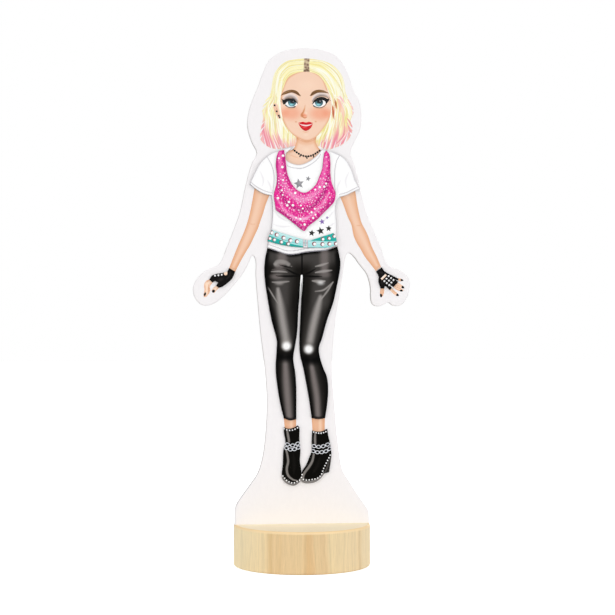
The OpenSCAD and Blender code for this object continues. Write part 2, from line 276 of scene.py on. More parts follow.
def dense(line, step):
    """A closed line with no straight piece longer than step."""
    spots = []
    for a, b in zip(line, np.roll(line, -1, axis=0)):
        parts = max(1, math.ceil(np.linalg.norm(b - a) / step))
        spots.extend(a + (b - a) * k / parts for k in range(parts))
    return np.array(spots)


def raised(points, up):
    """Points moved up on the page, or down."""
    return [(across, height + up) for across, height in points]


def ring(centre, across, up=None, turn=0.0, count=28):
    """A closed ellipse, turned by an angle in degrees."""
    angle = np.linspace(0, 2 * math.pi, count, endpoint=False)
    flat = np.column_stack([across * np.cos(angle), (up or across) * np.sin(angle)])
    c, s = math.cos(math.radians(turn)), math.sin(math.radians(turn))
    return flat @ np.array([[c, s], [-s, c]]) + np.array(centre, float)


def from_path(places, path, reach):
    """How far each place within reach lies from a path, and how far along it, from 0 to 1."""
    gap = np.full(len(places), np.inf)
    along = np.zeros(len(places))
    steps = np.diff(path, axis=0)
    sizes = np.maximum(np.linalg.norm(steps, axis=1), TINY)
    run = np.concatenate([[0], np.cumsum(sizes)])
    for i, step in enumerate(steps):
        low = np.minimum(path[i], path[i + 1]) - reach
        high = np.maximum(path[i], path[i + 1]) + reach
        near = np.flatnonzero(np.all((places >= low) & (places <= high), axis=1))
        away = places[near] - path[i]
        part = np.clip(away @ step / sizes[i] ** 2, 0, 1)
        here = np.linalg.norm(away - part[:, None] * step, axis=1)
        closer = here < gap[near]
        gap[near[closer]] = here[closer]
        along[near[closer]] = (run[i] + part[closer] * sizes[i]) / run[-1]
    return gap, along


def inside(places, loops):
    """Which places lie inside the loops. A loop within another is a hole."""
    odd = np.zeros(len(places), bool)
    up = places[:, 1]
    for loop in loops:
        for (x0, y0), (x1, y1) in zip(loop, np.roll(loop, -1, axis=0)):
            if y0 == y1:
                continue
            level = np.flatnonzero((up > min(y0, y1)) & (up <= max(y0, y1)))
            cross = x0 + (up[level] - y0) * (x1 - x0) / (y1 - y0)
            hit = level[places[level, 0] < cross]
            odd[hit] = ~odd[hit]
    return odd


def area(loop):
    """Signed area of a loop: positive where it runs anticlockwise."""
    ahead = np.roll(loop, -1, axis=0)
    return 0.5 * np.sum(loop[:, 0] * ahead[:, 1] - ahead[:, 0] * loop[:, 1])


def front_loops(node):
    """The closed edges of a flat CAD piece as seen from the front, on the page."""
    flat = bmesh.new()
    flat.from_mesh(frame["nodes"][node].data)
    bmesh.ops.remove_doubles(flat, verts=flat.verts, dist=MERGE)
    front = {face for face in flat.faces if face.normal.y < -FACING}
    follow = {}
    for edge in flat.edges:
        sides = [loop for loop in edge.link_loops if loop.face in front]
        if len(sides) == 1:
            follow.setdefault(sides[0].vert, []).append(sides[0].link_loop_next.vert)
    loops = []
    while follow:
        first = next(iter(follow))
        vert = first
        spots = []
        while True:
            spots.append((vert.co.x / MM, (vert.co.z - DISC_TOP) / MM))
            ahead = follow[vert].pop()
            if not follow[vert]:
                del follow[vert]
            vert = ahead
            if vert == first:
                break
        loops.append(np.array(spots))
    flat.free()
    return loops


def outer_loops(node):
    """The outside edges of a flat CAD piece, without its holes."""
    return [loop for loop in front_loops(node) if area(loop) > 0]


# Brushes: each one lays a colour on some places of the page


def lay(colours, rows, tone, mask):
    """Lays a tone over some rows of colours, as thick as the mask says."""
    colours[rows] += mask[:, None] * (np.array(tone[:]) - colours[rows])


def eased(part):
    """Turns an even share from 0 to 1 into one that starts and ends gently."""
    return part * part * (3 - 2 * part)


def fade(gap, reach, soft):
    """1 up to the soft part of a reach, falling smoothly to 0 at its end."""
    start = reach * (1 - soft)
    return 1 - eased(np.clip((gap - start) / np.maximum(reach - start, TINY), 0, 1))


def stroke(tone, points, width, strength=1.0, soft=0.9, ends=(0.3, 0.3)):
    """A soft line through the points. Ends are its widths there, as shares of the width."""
    path = smooth(points, closed=False)

    def brush(places, colours):
        gap, along = from_path(places, path, width / 2)
        rows = np.flatnonzero(gap < width / 2)
        swell = np.sin(np.pi * along[rows])
        narrow = np.where(along[rows] < 0.5, ends[0], ends[1])
        half = width / 2 * (narrow + (1 - narrow) * swell)
        lay(colours, rows, tone, strength * fade(gap[rows], half, soft))

    return brush


def strokes(tone, lines, *look):
    """Soft lines of one look, each through its own points."""
    return [stroke(tone, points, *look) for points in lines]


def spot(tone, centre, across, up=None, strength=1.0, soft=0.9, turn=0.0):
    """A soft round or oval spot."""
    c, s = math.cos(math.radians(turn)), math.sin(math.radians(turn))

    def brush(places, colours):
        away = (places - np.array(centre, float)) @ np.array([[c, -s], [s, c]])
        gap = np.hypot(away[:, 0] / across, away[:, 1] / (up or across))
        rows = np.flatnonzero(gap < 1)
        lay(colours, rows, tone, strength * fade(gap[rows], 1.0, soft))

    return brush


def rim(tone, loops, width, strength=1.0, soft=1.0):
    """A soft band along closed lines."""

    def brush(places, colours):
        for loop in loops:
            gap, _ = from_path(places, np.vstack([loop, loop[:1]]), width)
            rows = np.flatnonzero(gap < width)
            lay(colours, rows, tone, strength * fade(gap[rows], width, soft))

    return brush


# Patches: each is a shape of one colour with brushes on it, and later ones cover earlier ones

Patch = namedtuple("Patch", "line tone brushes step")


def ground(tone, *brushes):
    """The colour of a whole film."""
    return Patch(None, tone, brushes, None)


def patch(tone, points, *brushes, step=None):
    """A shape with a smooth outline. A step gives it points of its own, that far apart."""
    return Patch(smooth(points), tone, brushes, step)


def disc(tone, centre, across, up=None, turn=0.0, brushes=(), step=None):
    """A round or oval shape."""
    return Patch(ring(centre, across, up, turn), tone, brushes, step)


def star(tone, centre, radius, turn=0.0, brushes=(), waist=0.46):
    """A plain star with five points. Its waist is a share of its radius."""
    points = []
    for i in range(10):
        angle = math.radians(90 + turn + 36 * i)
        reach = radius if i % 2 == 0 else radius * waist
        points.append((centre[0] + reach * math.cos(angle), centre[1] + reach * math.sin(angle), 1))
    return patch(tone, points, *brushes)


def unprinted(corners):
    """A straight-sided shape where nothing is printed."""
    return Patch(np.array(corners, float), None, (), None)


# Films: flat meshes that carry a drawing as colours


def hex_grid(low, high, step):
    """Places spread evenly over a box, in staggered rows."""
    row = step * math.sqrt(3) / 2
    across, up = np.meshgrid(np.arange(low[0], high[0], step), np.arange(low[1], high[1], row))
    across[1::2] += step / 2
    return np.column_stack([across.ravel(), up.ravel()])


def search_tree(spots):
    """Finds the spot of the page that lies nearest to a place."""
    tree = kdtree.KDTree(len(spots))
    for i, place in enumerate(spots):
        tree.insert((*place, 0), i)
    tree.balance()
    return tree


def apart(places, lines, gap):
    """The places that lie at least a gap away from every point of the lines."""
    tree = search_tree(np.concatenate(lines))
    keep = [tree.find((*place, 0))[2] > gap for place in places]
    return places[np.array(keep, bool)] if len(places) else places


def triangles(lines, fill):
    """Triangles between closed lines and loose places, none of which crosses a line."""
    points = []
    edges = []
    for line in lines:
        first = len(points)
        points.extend(line)
        edges.extend((first + i, first + (i + 1) % len(line)) for i in range(len(line)))
    points.extend(fill)
    found = geometry.delaunay_2d_cdt([Vector(p) for p in points], edges, [], 0, PAGE_MERGE, False)
    return np.array([p[:] for p in found[0]]), np.array(found[2])


def overlap(line, low, high):
    """Whether a line's box meets another box."""
    return np.all(line.max(0) >= low) and np.all(line.min(0) <= high)


def fill_places(loops, shapes, step):
    """Loose places inside a film: at the film's step, and closer where a shape asks for it."""
    spots = np.concatenate(loops)
    places = hex_grid(spots.min(0), spots.max(0), step)
    places = places[inside(places, loops)]
    for shape in shapes:
        if shape.step:
            within = inside(places, [shape.line])
            finer = hex_grid(shape.line.min(0), shape.line.max(0), shape.step)
            finer = finer[inside(finer, [shape.line])]
            finer = finer[inside(finer, loops)]
            places = np.vstack([places[~within], finer])
    return places


def uppermost(drawing, middles):
    """Which shape of a drawing lies on top at each place."""
    top = np.zeros(len(middles), int)
    for i, shape in enumerate(drawing):
        if shape.line is not None and overlap(shape.line, middles.min(0), middles.max(0)):
            top[inside(middles, [shape.line])] = i
    return top


def painted(drawing, places, faces, top):
    """The colour of each corner of each triangle, from the shape on top there."""
    colours = np.ones((len(faces), 3, 4))
    for i in np.unique(top):
        rows = np.flatnonzero(top == i)
        used, back = np.unique(faces[rows], return_inverse=True)
        tones = np.tile(np.array(drawing[i].tone[:], float), (len(used), 1))
        for brush in drawing[i].brushes:
            brush(places[used], tones)
        colours[rows, :, :3] = tones[back].reshape(-1, 3, 3)
    return colours


def deselect_all():
    """Leaves nothing selected, so that an operator acts on one piece alone."""
    for thing in bpy.context.selected_objects:
        thing.select_set(False)


def pick(piece):
    """Makes a piece the active one and the only one selected."""
    deselect_all()
    piece.select_set(True)
    bpy.context.view_layer.objects.active = piece


def new_piece(name, verts, faces):
    """A mesh object of its own, selected and active."""
    mesh = bpy.data.meshes.new(name)
    mesh.from_pydata([tuple(v) for v in verts], [], [tuple(int(i) for i in f) for f in faces])
    piece = bpy.data.objects.new(name, mesh)
    bpy.context.scene.collection.objects.link(piece)
    pick(piece)
    return piece


def face_outwards():
    """Turns every face of the active piece outwards."""
    bpy.ops.object.mode_set(mode="EDIT")
    bpy.ops.mesh.select_all(action="SELECT")
    bpy.ops.mesh.normals_make_consistent(inside=False)
    bpy.ops.object.mode_set(mode="OBJECT")


def close_film(depth):
    """Gives the active flat front its edges and its back, as deep as the film is thick."""
    bpy.ops.object.mode_set(mode="EDIT")
    bpy.ops.mesh.select_mode(type="EDGE")
    bpy.ops.mesh.select_all(action="DESELECT")
    bpy.ops.mesh.select_non_manifold()
    bpy.ops.mesh.extrude_edges_move(TRANSFORM_OT_translate={"value": (0, depth, 0)})
    bpy.ops.mesh.fill(use_beauty=False)
    face_outwards()


def printed_film(node, drawing, step, flow=None):
    """A film in the place of a flat CAD node, with a drawing on its front as the colours called Print."""
    loops = front_loops(node)
    low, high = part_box(node)
    step = step / MM
    spots = np.concatenate(loops)
    shapes = [s for s in drawing if s.line is not None and overlap(s.line, spots.min(0), spots.max(0))]
    lines = [dense(loop, step) for loop in loops]
    lines += [dense(shape.line, shape.step or step) for shape in shapes]
    fill = apart(fill_places(loops, shapes, step), lines, LINE_CLEARANCE)
    places, faces = triangles(lines, fill)
    middles = places[faces].mean(axis=1)
    top = uppermost(drawing, middles)
    inked = inside(middles, loops) & np.array([drawing[i].tone is not None for i in top])
    used, back = np.unique(faces[inked], return_inverse=True)
    places = places[used]
    faces = back.reshape(-1, 3)
    verts = [(across * MM, low.y, up * MM + DISC_TOP) for across, up in places]
    piece = new_piece("printed_" + node.removesuffix("_print"), verts, faces)
    colours = painted(drawing, places, faces, top[inked])
    layer = piece.data.color_attributes.new("Print", "BYTE_COLOR", "CORNER")
    layer.data.foreach_set("color_srgb", colours.ravel())
    if flow:
        side, across, along = flow(places)
        strands_map = np.column_stack([across + side, along])[faces.ravel()]
        piece.data.uv_layers.new(name="Strands").data.foreach_set("uv", strands_map.ravel())
    close_film(high.y - low.y)
    bare_edges(piece)
    finish_piece(piece, frame["nodes"][node]["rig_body"], [node])
    return piece


def print_films(material, *rows):
    """Prints films in one material. A row holds what a printed film is made from."""
    for row in rows:
        coat(printed_film(*row), material)


def bare_edges(piece):
    """The edges and the back of a film are unprinted."""
    bare = tuple(bpy.context.scene.doll_colours.film) + (1.0,)
    layer = piece.data.color_attributes["Print"].data
    for face in piece.data.polygons:
        if face.normal.y > -FACING:
            for corner in face.loop_indices:
                layer[corner].color_srgb = bare


def coat(piece, material):
    """Gives a piece one material and no other."""
    piece.data.materials.clear()
    piece.data.materials.append(material)


def finish_piece(piece, body, nodes):
    """A finished piece rides on its body, in the place of its CAD nodes."""
    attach(piece, body)
    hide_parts(*nodes)


# Drawings of the figure: c holds the colours, and a point is across and up on the page


def figure_drawing(c):
    """The bare figure: skin, undersuit, face and necklace."""
    edges = outer_loops("skin_print")
    warm, deep, light = c.skin_edge, c.skin_deep, c.skin_light
    left_arm = [(-18, 168), (-21, 156), (-24, 145), (-28.5, 134), (-33.5, 124)]
    right_arm = [(20, 168), (23, 156), (26.5, 145), (31.5, 134), (36.5, 125)]
    skin = ground(
        c.skin,
        rim(warm, edges, 1.8, 0.9),
        rim(deep, edges, 0.5, 0.45),
        # Warmer arms, with light down them and down the legs
        stroke(warm, left_arm, 11, 0.42, 0.3, (1, 1)),
        stroke(warm, right_arm, 11, 0.44, 0.3, (1, 1)),
        *strokes(c.skin, (left_arm, right_arm), 4.2, 0.7),
        *strokes(light, ([(-11, 112), (-9, 92), (-8, 84), (-7.5, 66), (-6, 52)],
                         [(10, 112), (5.5, 92), (4, 84), (7, 66), (8, 52)]), 5, 0.6),
        # Warmer ankles, and paler hands with thin warm outlines
        *strokes(warm, ([(-5.7, 51), (-5.6, 43)], [(8.2, 51), (8.4, 41)]), 7, 0.65, 0.4, (1, 1)),
        *strokes(light, ([(-5.4, 51), (-5.3, 43)], [(8.7, 51), (8.8, 41)]), 2.6, 0.6, 1.0, (0.9, 0.9)),
        spot(light, (-45, 113.5), 6, 5.5, 0.95, 0.5),
        spot(light, (45, 113.5), 8, 7, 0.95, 0.5),
        rim(warm, edges, 0.6, 0.7),
        # Creases at the elbows and the wrists
        *strokes(warm, ([(-26, 145.25), (-24, 144.5), (-22.5, 145)],
                        [(26, 144.5), (28, 144.25), (29, 145)]), 0.7, 0.7),
        *strokes(light, ([(-35, 123.75), (-33.5, 122.75), (-32.5, 122.25)],
                         [(36, 122.75), (37.25, 123.75), (38.25, 124.5)]), 0.7, 0.8),
        # Shadow of the chin on the neck, and the collar bones
        stroke(warm, [(-4, 187.6), (-1.5, 184.9), (2, 184.2), (5.5, 184.9), (8, 187.6)], 3.6, 0.5),
        stroke(deep, [(-2.8, 186.6), (-0.4, 185.3), (2.1, 184.8), (4.6, 185.3), (6.8, 186.5)], 1.2, 0.5),
        spot(deep, (-2.7, 186.2), 1.7, 1.2, 0.6),
        spot(deep, (6.9, 186.3), 1.5, 1.3, 0.6),
        spot(light, (2, 180.75), 3, 2, 0.5),
        stroke(warm, [(-6.5, 178.5), (-4, 177.5), (-1.5, 176.75)], 0.9, 0.6),
        stroke(warm, [(5.5, 177.5), (7.5, 178.5), (9, 179.75)], 0.9, 0.5),
        # Fingers and the gaps between them
        stroke(warm, [(-47, 115.4), (-47.1, 113.5), (-46.9, 111.8)], 1.1, 0.8),
        stroke(light, [(-46.1, 116.4), (-46, 113), (-46.2, 110.6)], 0.8, 0.9),
        stroke(deep, [(-45.3, 115.6), (-45.35, 113.3), (-45.5, 111)], 0.7, 0.95),
        stroke(deep, [(-44.6, 115.2), (-44.7, 113.2), (-45, 111.6)], 0.4, 0.7),
        spot(deep, (-45.8, 116.9), 0.55, 0.5, 0.6),
        spot(c.blush, (-44.5, 115.9), 0.7, 0.5, 0.7),
        stroke(warm, [(45.6, 115.7), (47.2, 115.05), (48.8, 114.5)], 0.9, 0.8),
        stroke(warm, [(44.8, 114.2), (46.4, 113.4), (47.9, 112.8)], 0.9, 0.8),
        stroke(warm, [(43.6, 113.2), (45, 112), (46.3, 111)], 1.0, 0.75),
        stroke(deep, [(45.2, 115), (47.2, 114.1), (49.2, 113.3)], 0.55, 0.95),
        stroke(warm, [(39.2, 115), (39.3, 112.5), (39, 110.5)], 0.9, 0.75),
        # Gaps between the toes
        *[stroke(deep, [(-7.5 + 1.25 * i, 20), (-7 + 1.25 * i, 23)], 0.4, 0.7) for i in range(4)],
        *[stroke(deep, [(2 + 1.1 * i, 21), (3 + 1.1 * i, 24)], 0.4, 0.7) for i in range(4)],
    )
    tips = unprinted([(50.2, 112.85), (48.1, 113.75), (50.3, 113.8)])
    return [skin, *undersuit_shapes(c), *face_shapes(c), *necklace_shapes(c), *nail_shapes(c), tips]


def undersuit_shapes(c):
    """The plain suit under the clothes, with bound edges and a waist seam."""
    loops = outer_loops("undersuit_print")
    brushes = (
        rim(c.suit_line, loops, 4, 0.35),
        rim(c.white, loops, 1.1, 0.9, 0.3),
        rim(c.suit_line, loops, 0.35, 0.9, 0.5),
        stroke(c.suit_line, [(-12, 146), (-4, 144.75), (4, 144.75), (12.5, 146)], 0.5, 0.9, 0.5, (1, 1)),
        *strokes(c.white, ([(-6, 164), (-7, 156), (-6, 149)], [(7, 164), (8, 156), (7, 149)]), 5, 0.6),
        stroke(c.suit_line, [(-0.25, 144), (-0.25, 131), (-0.25, 119)], 0.45, 0.8, 0.5, (1, 1)),
    )
    return [Patch(loop, c.suit, brushes, None) for loop in loops]


def face_shapes(c):
    """The face, from its skin up to the brows."""
    outline = [(-12, 222, 1), (16, 222, 1), (15.5, 204), (14, 199), (12.75, 195), (10, 190.6), (6.4, 186.7),
               (2.1, 185.1), (-2.6, 186.8), (-6.6, 189.8), (-9, 194), (-10.25, 198), (-12, 204)]
    jaw = [smooth(outline)]
    warm, deep, light = c.skin_edge, c.skin_deep, c.skin_light
    skin = patch(
        c.skin, outline,
        spot(light, (2, 212), 7, 4.5, 0.35),
        rim(warm, jaw, 1.2, 0.7),
        rim(deep, jaw, 0.4, 0.5),
        # Shadow of the hair along the forehead and the temples
        stroke(warm, [(-10.75, 203), (-9, 211), (-6, 216), (2, 219), (9, 216), (12, 210)], 1.6, 0.8, 0.9,
               (0.8, 0.8)),
        # Cheeks
        spot(c.blush, (-5.3, 198.4), 7.5, 5.0, 0.62, 0.8),
        spot(c.blush, (8.8, 198.4), 8, 5.0, 0.65, 0.8),
        spot(c.blush, (-8.5, 198.4), 3.5, 3.2, 0.6, 1.0),
        spot(c.blush, (11.75, 198.6), 3.8, 3.2, 0.7, 1.0),
        stroke(warm, [(-8.5, 201), (-5.5, 200.5), (-2.5, 201)], 1.0, 0.75),
        stroke(warm, [(5.25, 201.25), (8.25, 200.75), (11.5, 201.5)], 1.0, 0.75),
        # Nose
        stroke(warm, [(1.4, 202.5), (1, 200.5), (0.25, 198.5)], 1.4, 0.8, 1.0, (0.3, 1.0)),
        stroke(deep, [(1.1, 200.75), (0.5, 199), (-0.2, 197.9)], 1.2, 0.85, 1.0, (0.3, 1.0)),
        spot(c.blush, (1.3, 197.4), 1.5, 1.4, 1.0),
        spot(deep, (0, 197.4), 1.3, 1.2, 1.0, 0.8),
        stroke(deep, [(0, 196.7), (1.25, 196.2), (2.3, 196.7)], 0.9, 0.95),
        spot(light, (1.9, 198.4), 0.8, 1.1, 0.7),
        stroke(deep, [(0.6, 199.3), (-0.3, 198.3), (-0.3, 197.2), (0.4, 196.5), (1.5, 196.2)], 0.95, 0.9),
        spot(c.blush, (0.6, 197.8), 0.6, 0.8, 0.8),
        # Mouth corners and chin
        spot(deep, (-3.1, 194.25), 0.8, 0.6, 0.55),
        spot(deep, (6.5, 194.5), 0.8, 0.6, 0.55),
        stroke(warm, [(0, 189.6), (1.5, 189.3), (3, 189.6)], 0.9, 0.6),
        spot(light, (1.75, 188), 2.2, 1.1, 0.6),
        step=0.2,
    )
    left = eye_shapes(
        c,
        opening=[(-8.4, 202.9, 1), (-7.4, 204.1), (-5.6, 204.8), (-3.6, 204.3), (-2.1, 203, 1),
                 (-3.4, 201.8), (-5.5, 201.4), (-7.3, 201.8)],
        lash=[(-10.2, 205.2, 1), (-8.9, 204.8), (-7.6, 205.45), (-5.9, 205.7), (-4, 205), (-2.5, 203.8),
              (-2, 202.9, 1), (-3.6, 203.9), (-5.6, 204.5), (-7.4, 203.9), (-8.4, 202.7, 1), (-9.2, 202.6),
              (-9.6, 203.8)],
        centre=(-5, 203.7),
        lower=[(-8.4, 202.5), (-6.9, 201.5), (-5.2, 201.2), (-3.2, 201.7)],
        lashes=[[(-8.6, 204.2), (-9.8, 205), (-10.6, 206.2)], [(-8.8, 203.2), (-10, 203.7), (-10.9, 204.6)]],
        shadow=[(-9, 205), (-7.5, 206.1), (-5.6, 206.5), (-3.6, 205.7), (-2.3, 204.2)],
    )
    right = eye_shapes(
        c,
        opening=[(4.9, 202.8, 1), (6, 204.3), (8, 205.4), (10.2, 205.3), (11.7, 204.3, 1), (10.9, 202.7),
                 (8.8, 201.6), (6.4, 201.9)],
        lash=[(4.7, 202.7, 1), (5.6, 204.6), (7, 205.85), (8.9, 206.5), (10.9, 206.3), (12.2, 205.6),
              (13.5, 205.7, 1), (12.6, 204.2), (11.5, 202.9, 1), (11.2, 204.2), (10, 204.9), (8, 204.9),
              (6.1, 203.9)],
        centre=(8.1, 203.85),
        lower=[(5.2, 202.3), (7, 201.5), (9, 201.4), (10.8, 202.2), (11.8, 203.4)],
        lashes=[[(11.8, 205.3), (12.9, 206), (13.7, 207.2)], [(12.3, 204.5), (13.4, 204.7), (14.3, 205.5)]],
        shadow=[(5, 204.4), (6.2, 206.1), (8.5, 207.3), (11, 207.2), (12.6, 206.4)],
    )
    return [shaded_lids(skin, left, right), *left.shapes, *right.shapes, *brow_shapes(c), *mouth_shapes(c)]


Eye = namedtuple("Eye", "shapes lid_brushes")


def eye_shapes(c, opening, lash, centre, lower, lashes, shadow):
    """One eye: its white, iris, lids and lashes, and the shadow on the lid above it."""
    iris_radius = 2.0
    x, up = centre
    white = patch(
        c.eye_white, opening,
        stroke(c.lid, opening[0:5], 1.5, 0.7),
        spot(c.iris_light, (x - 1.2, up - 1.9), 2.4, 0.9, 0.45),
        spot(c.blush, opening[4][:2] if x < 0 else opening[0][:2], 0.7, 0.6, 0.6),
        step=FINE,
    )
    iris = disc(
        c.iris, centre, iris_radius, brushes=(
            rim(c.iris_deep, [ring(centre, iris_radius)], 0.7, 0.75),
            spot(c.iris_deep, (x + 0.2, up + 0.7), 2.3, 2.3, 1.0, 0.65),
            spot(c.lash, (x + 0.2, up + 0.5), 1.5, 1.3, 0.75, 0.8),
            spot(c.iris_light, (x - 0.3, up - 1.15), 1.7, 0.95, 0.95),
            spot(c.lid, (x + 0.6, up + 0.2), 0.45, 0.3, 0.7),
        ), step=0.12,
    )
    glint = disc(c.chain, (x + 0.55, up + 0.6), 0.2)
    under = patch(c.lash, lower + raised(reversed(lower[1:-1]), -0.25))
    band = patch(c.lash, lash, stroke(c.lid, lash[2:5], 0.4, 0.35), step=FINE)
    hairs = []
    for root, middle, tip in lashes:
        side = (0.3, -0.14) if x > 0 else (0.3, 0.14)
        thick = [(root[0] + side[0], root[1] + side[1]), (middle[0] + side[0] / 2, middle[1] + side[1] / 2)]
        hairs.append(patch(c.lash, [root + (1,), middle, tip + (1,), thick[1], thick[0] + (1,)]))
    lid_brushes = (
        stroke(c.lid_light, raised(shadow, 1.0), 2.8, 0.75, 1.0, (0.5, 0.5)),
        stroke(c.lid, raised(shadow, 0.1), 1.9, 0.55, 1.0, (0.6, 0.6)),
        stroke(c.lash, raised(shadow, -0.4), 1.0, 0.4, 1.0, (0.6, 0.6)),
        stroke(c.lid, raised(lower, -0.2), 0.7, 0.5),
    )
    return Eye([white, iris, glint, under, band, *hairs], lid_brushes)


def shaded_lids(skin, *eyes):
    """The skin of the face with the shadows of its eyelids."""
    brushes = skin.brushes
    for eye in eyes:
        brushes += eye.lid_brushes
    return skin._replace(brushes=brushes)


def brow_shapes(c):
    """Two arched brows that thin towards their ends."""
    left = [(-10.7, 206.7, 1), (-8.6, 208.8), (-5.3, 209.75), (-2.5, 209), (-0.6, 206.7, 1), (-1.4, 206.8),
            (-3.3, 207.8), (-5.3, 208.35), (-8.2, 207.5)]
    right = [(3.6, 206.9, 1), (5, 208.9), (7.3, 209.9), (10.2, 209.7), (13.3, 208.2, 1), (10.2, 208.5),
             (7.5, 208.35), (5.8, 207.6), (4.4, 206.9)]
    return [
        patch(c.brow, left, stroke(c.roots, [(-9.7, 207.6), (-7.5, 208.7), (-5.5, 209.3)], 0.7, 0.4),
              stroke(c.roots_deep, [(-5.5, 208.8), (-3.4, 208.4), (-1.4, 207.2)], 0.9, 0.7), step=FINE),
        patch(c.brow, right, stroke(c.roots, [(8, 209.5), (10.5, 209.1), (12.3, 208.5)], 0.7, 0.4),
              stroke(c.roots_deep, [(4.2, 207.3), (5.6, 208.3), (7.5, 208.9)], 0.9, 0.7), step=FINE),
    ]


def mouth_shapes(c):
    """Red lips, a little open over the teeth."""
    upper = [(-2.1, 193.8, 1), (-0.8, 194.1), (0.2, 194.35), (1.7, 194), (3.2, 194.35), (4.2, 194.1),
             (5.3, 193.8, 1), (4, 193.15), (1.7, 192.9), (-0.7, 193.15)]
    teeth = [(-1.4, 193.4, 1), (1.7, 193), (4.7, 193.4, 1), (3.7, 192.5), (1.7, 192.1), (-0.3, 192.5)]
    lower = [(-1.9, 193.5, 1), (-0.3, 192.65), (1.7, 192.2), (3.7, 192.65), (5.1, 193.5, 1),
             (4.5, 191.9), (3.3, 190.6), (1.7, 189.95), (0.1, 190.6), (-1.1, 191.9)]
    return [
        patch(c.eye_white, teeth,
              stroke(c.lips_light, [(-1, 193.2), (1.7, 192.7), (4.3, 193.2)], 0.9, 0.4), step=FINE),
        patch(c.lips, upper, stroke(c.lips_deep, [(-1.5, 193.7), (1.7, 193.1), (4.7, 193.7)], 0.5, 0.8),
              stroke(c.lips_light, [(2.4, 194), (3.4, 194.05)], 0.35, 0.4), step=FINE),
        patch(c.lips, lower, stroke(c.lips_deep, [(-0.9, 191.9), (1.7, 190.05), (4.3, 191.9)], 0.8, 0.75),
              stroke(c.lips_light, [(-0.1, 192), (0.8, 191.6), (2.2, 191.5)], 0.6, 0.7),
              spot(c.lips_deep, (2.9, 191.6), 0.8, 0.5, 0.5), step=FINE),
    ]


def necklace_shapes(c):
    """A string of black beads with three small drops."""
    string = smooth([(-4.7, 181.05), (-1.4, 178.65), (1.85, 177.6), (5.1, 178.25), (8.4, 180.4)],
                    closed=False)
    half = (0, 0.1)
    shapes = [Patch(np.vstack([string + half, string[::-1] - half]), c.roots_deep, (), None)]
    for place in ((-1.15, 177.6), (2.25, 176.8), (5.5, 177.5)):
        shapes.append(disc(c.lash, place, 0.34, 0.46))
    for across, up in evenly(string, 13):
        shine = spot(c.lid, (across - 0.15, up + 0.18), 0.2, strength=0.25)
        shapes.append(disc(c.lash, (across, up), 0.53, brushes=(shine,)))
    return shapes


def nail_shapes(c):
    """Black nails on the fingers."""
    nails = [((-43, 112.35), 0.85, 0.68, 45), ((-47.05, 110.9), 0.9, 0.5, 68),
             ((48.9, 117.85), 0.8, 0.62, -20), ((49.3, 114.35), 0.8, 0.66, -30),
             ((48.45, 112.6), 0.75, 0.66, 0), ((46.75, 110.5), 0.85, 0.68, -40),
             ((38.4, 110.3), 0.68, 0.9, 0)]
    return [disc(c.lash, *nail, step=FINE) for nail in nails]


# Drawing of the hair


def wobble(values, cells, seed):
    """Smooth random numbers from 0 to 1 along values from 0 to 1."""
    knots = np.random.default_rng(seed).random(cells + 2)
    place = np.clip(values, 0, 1) * cells
    cell = place.astype(int)
    part = eased(place - cell)
    return knots[cell] * (1 - part) + knots[cell + 1] * part


def rise(values, low, high):
    """0 below low, 1 above high, and smooth between them."""
    return eased(np.clip((values - low) / (high - low), 0, 1))


def lock_lines(side):
    """Points along the inner and the outer edge of the locks on one side of the parting."""
    inner, outer = ((LEFT_INNER, LEFT_OUTER), (RIGHT_INNER, RIGHT_OUTER))[side]
    return spaced(inner, LOCK_ROWS), spaced(outer, LOCK_ROWS)


def lock_place(side, across, along):
    """The place that lies so far across and along the locks of a side. It may lie past their ends."""
    near, far = lock_lines(side)
    row = min(int(along * (LOCK_ROWS - 1)), LOCK_ROWS - 2)
    part = along * (LOCK_ROWS - 1) - row
    line = near * (1 - across) + far * across
    return line[row] + (line[row + 1] - line[row]) * part


def hair_flow(places):
    """For each place its side of the parting, 0 or 1, and how far it is across and along the locks."""
    across = np.linspace(0, 1, LOCK_COLUMNS)[:, None, None]
    lines = [lock_lines(0), lock_lines(1)]
    grid = np.array([near * (1 - across) + far * across for near, far in lines])
    tree = search_tree(grid.reshape(-1, 2))
    nearest = np.array([tree.find((*place, 0))[1] for place in places])
    side, column, row = np.unravel_index(nearest, grid.shape[:3])
    column = np.clip(column, 1, LOCK_COLUMNS - 2)
    row = np.clip(row, 1, LOCK_ROWS - 2)
    over = (grid[side, column + 1, row] - grid[side, column - 1, row]) / 2
    down = (grid[side, column, row + 1] - grid[side, column, row - 1]) / 2
    away = places - grid[side, column, row]
    spread = over[:, 0] * down[:, 1] - over[:, 1] * down[:, 0]
    spread = np.where(np.abs(spread) < LEAST_CELL, LEAST_CELL, spread)
    columns_on = np.clip((away[:, 0] * down[:, 1] - away[:, 1] * down[:, 0]) / spread, -CELLS_OFF, CELLS_OFF)
    rows_on = np.clip((over[:, 0] * away[:, 1] - over[:, 1] * away[:, 0]) / spread, -CELLS_OFF, CELLS_OFF)
    u = np.clip((column + columns_on) / (LOCK_COLUMNS - 1), 0, 1)
    return side, u, np.clip((row + rows_on) / (LOCK_ROWS - 1), 0, 1)


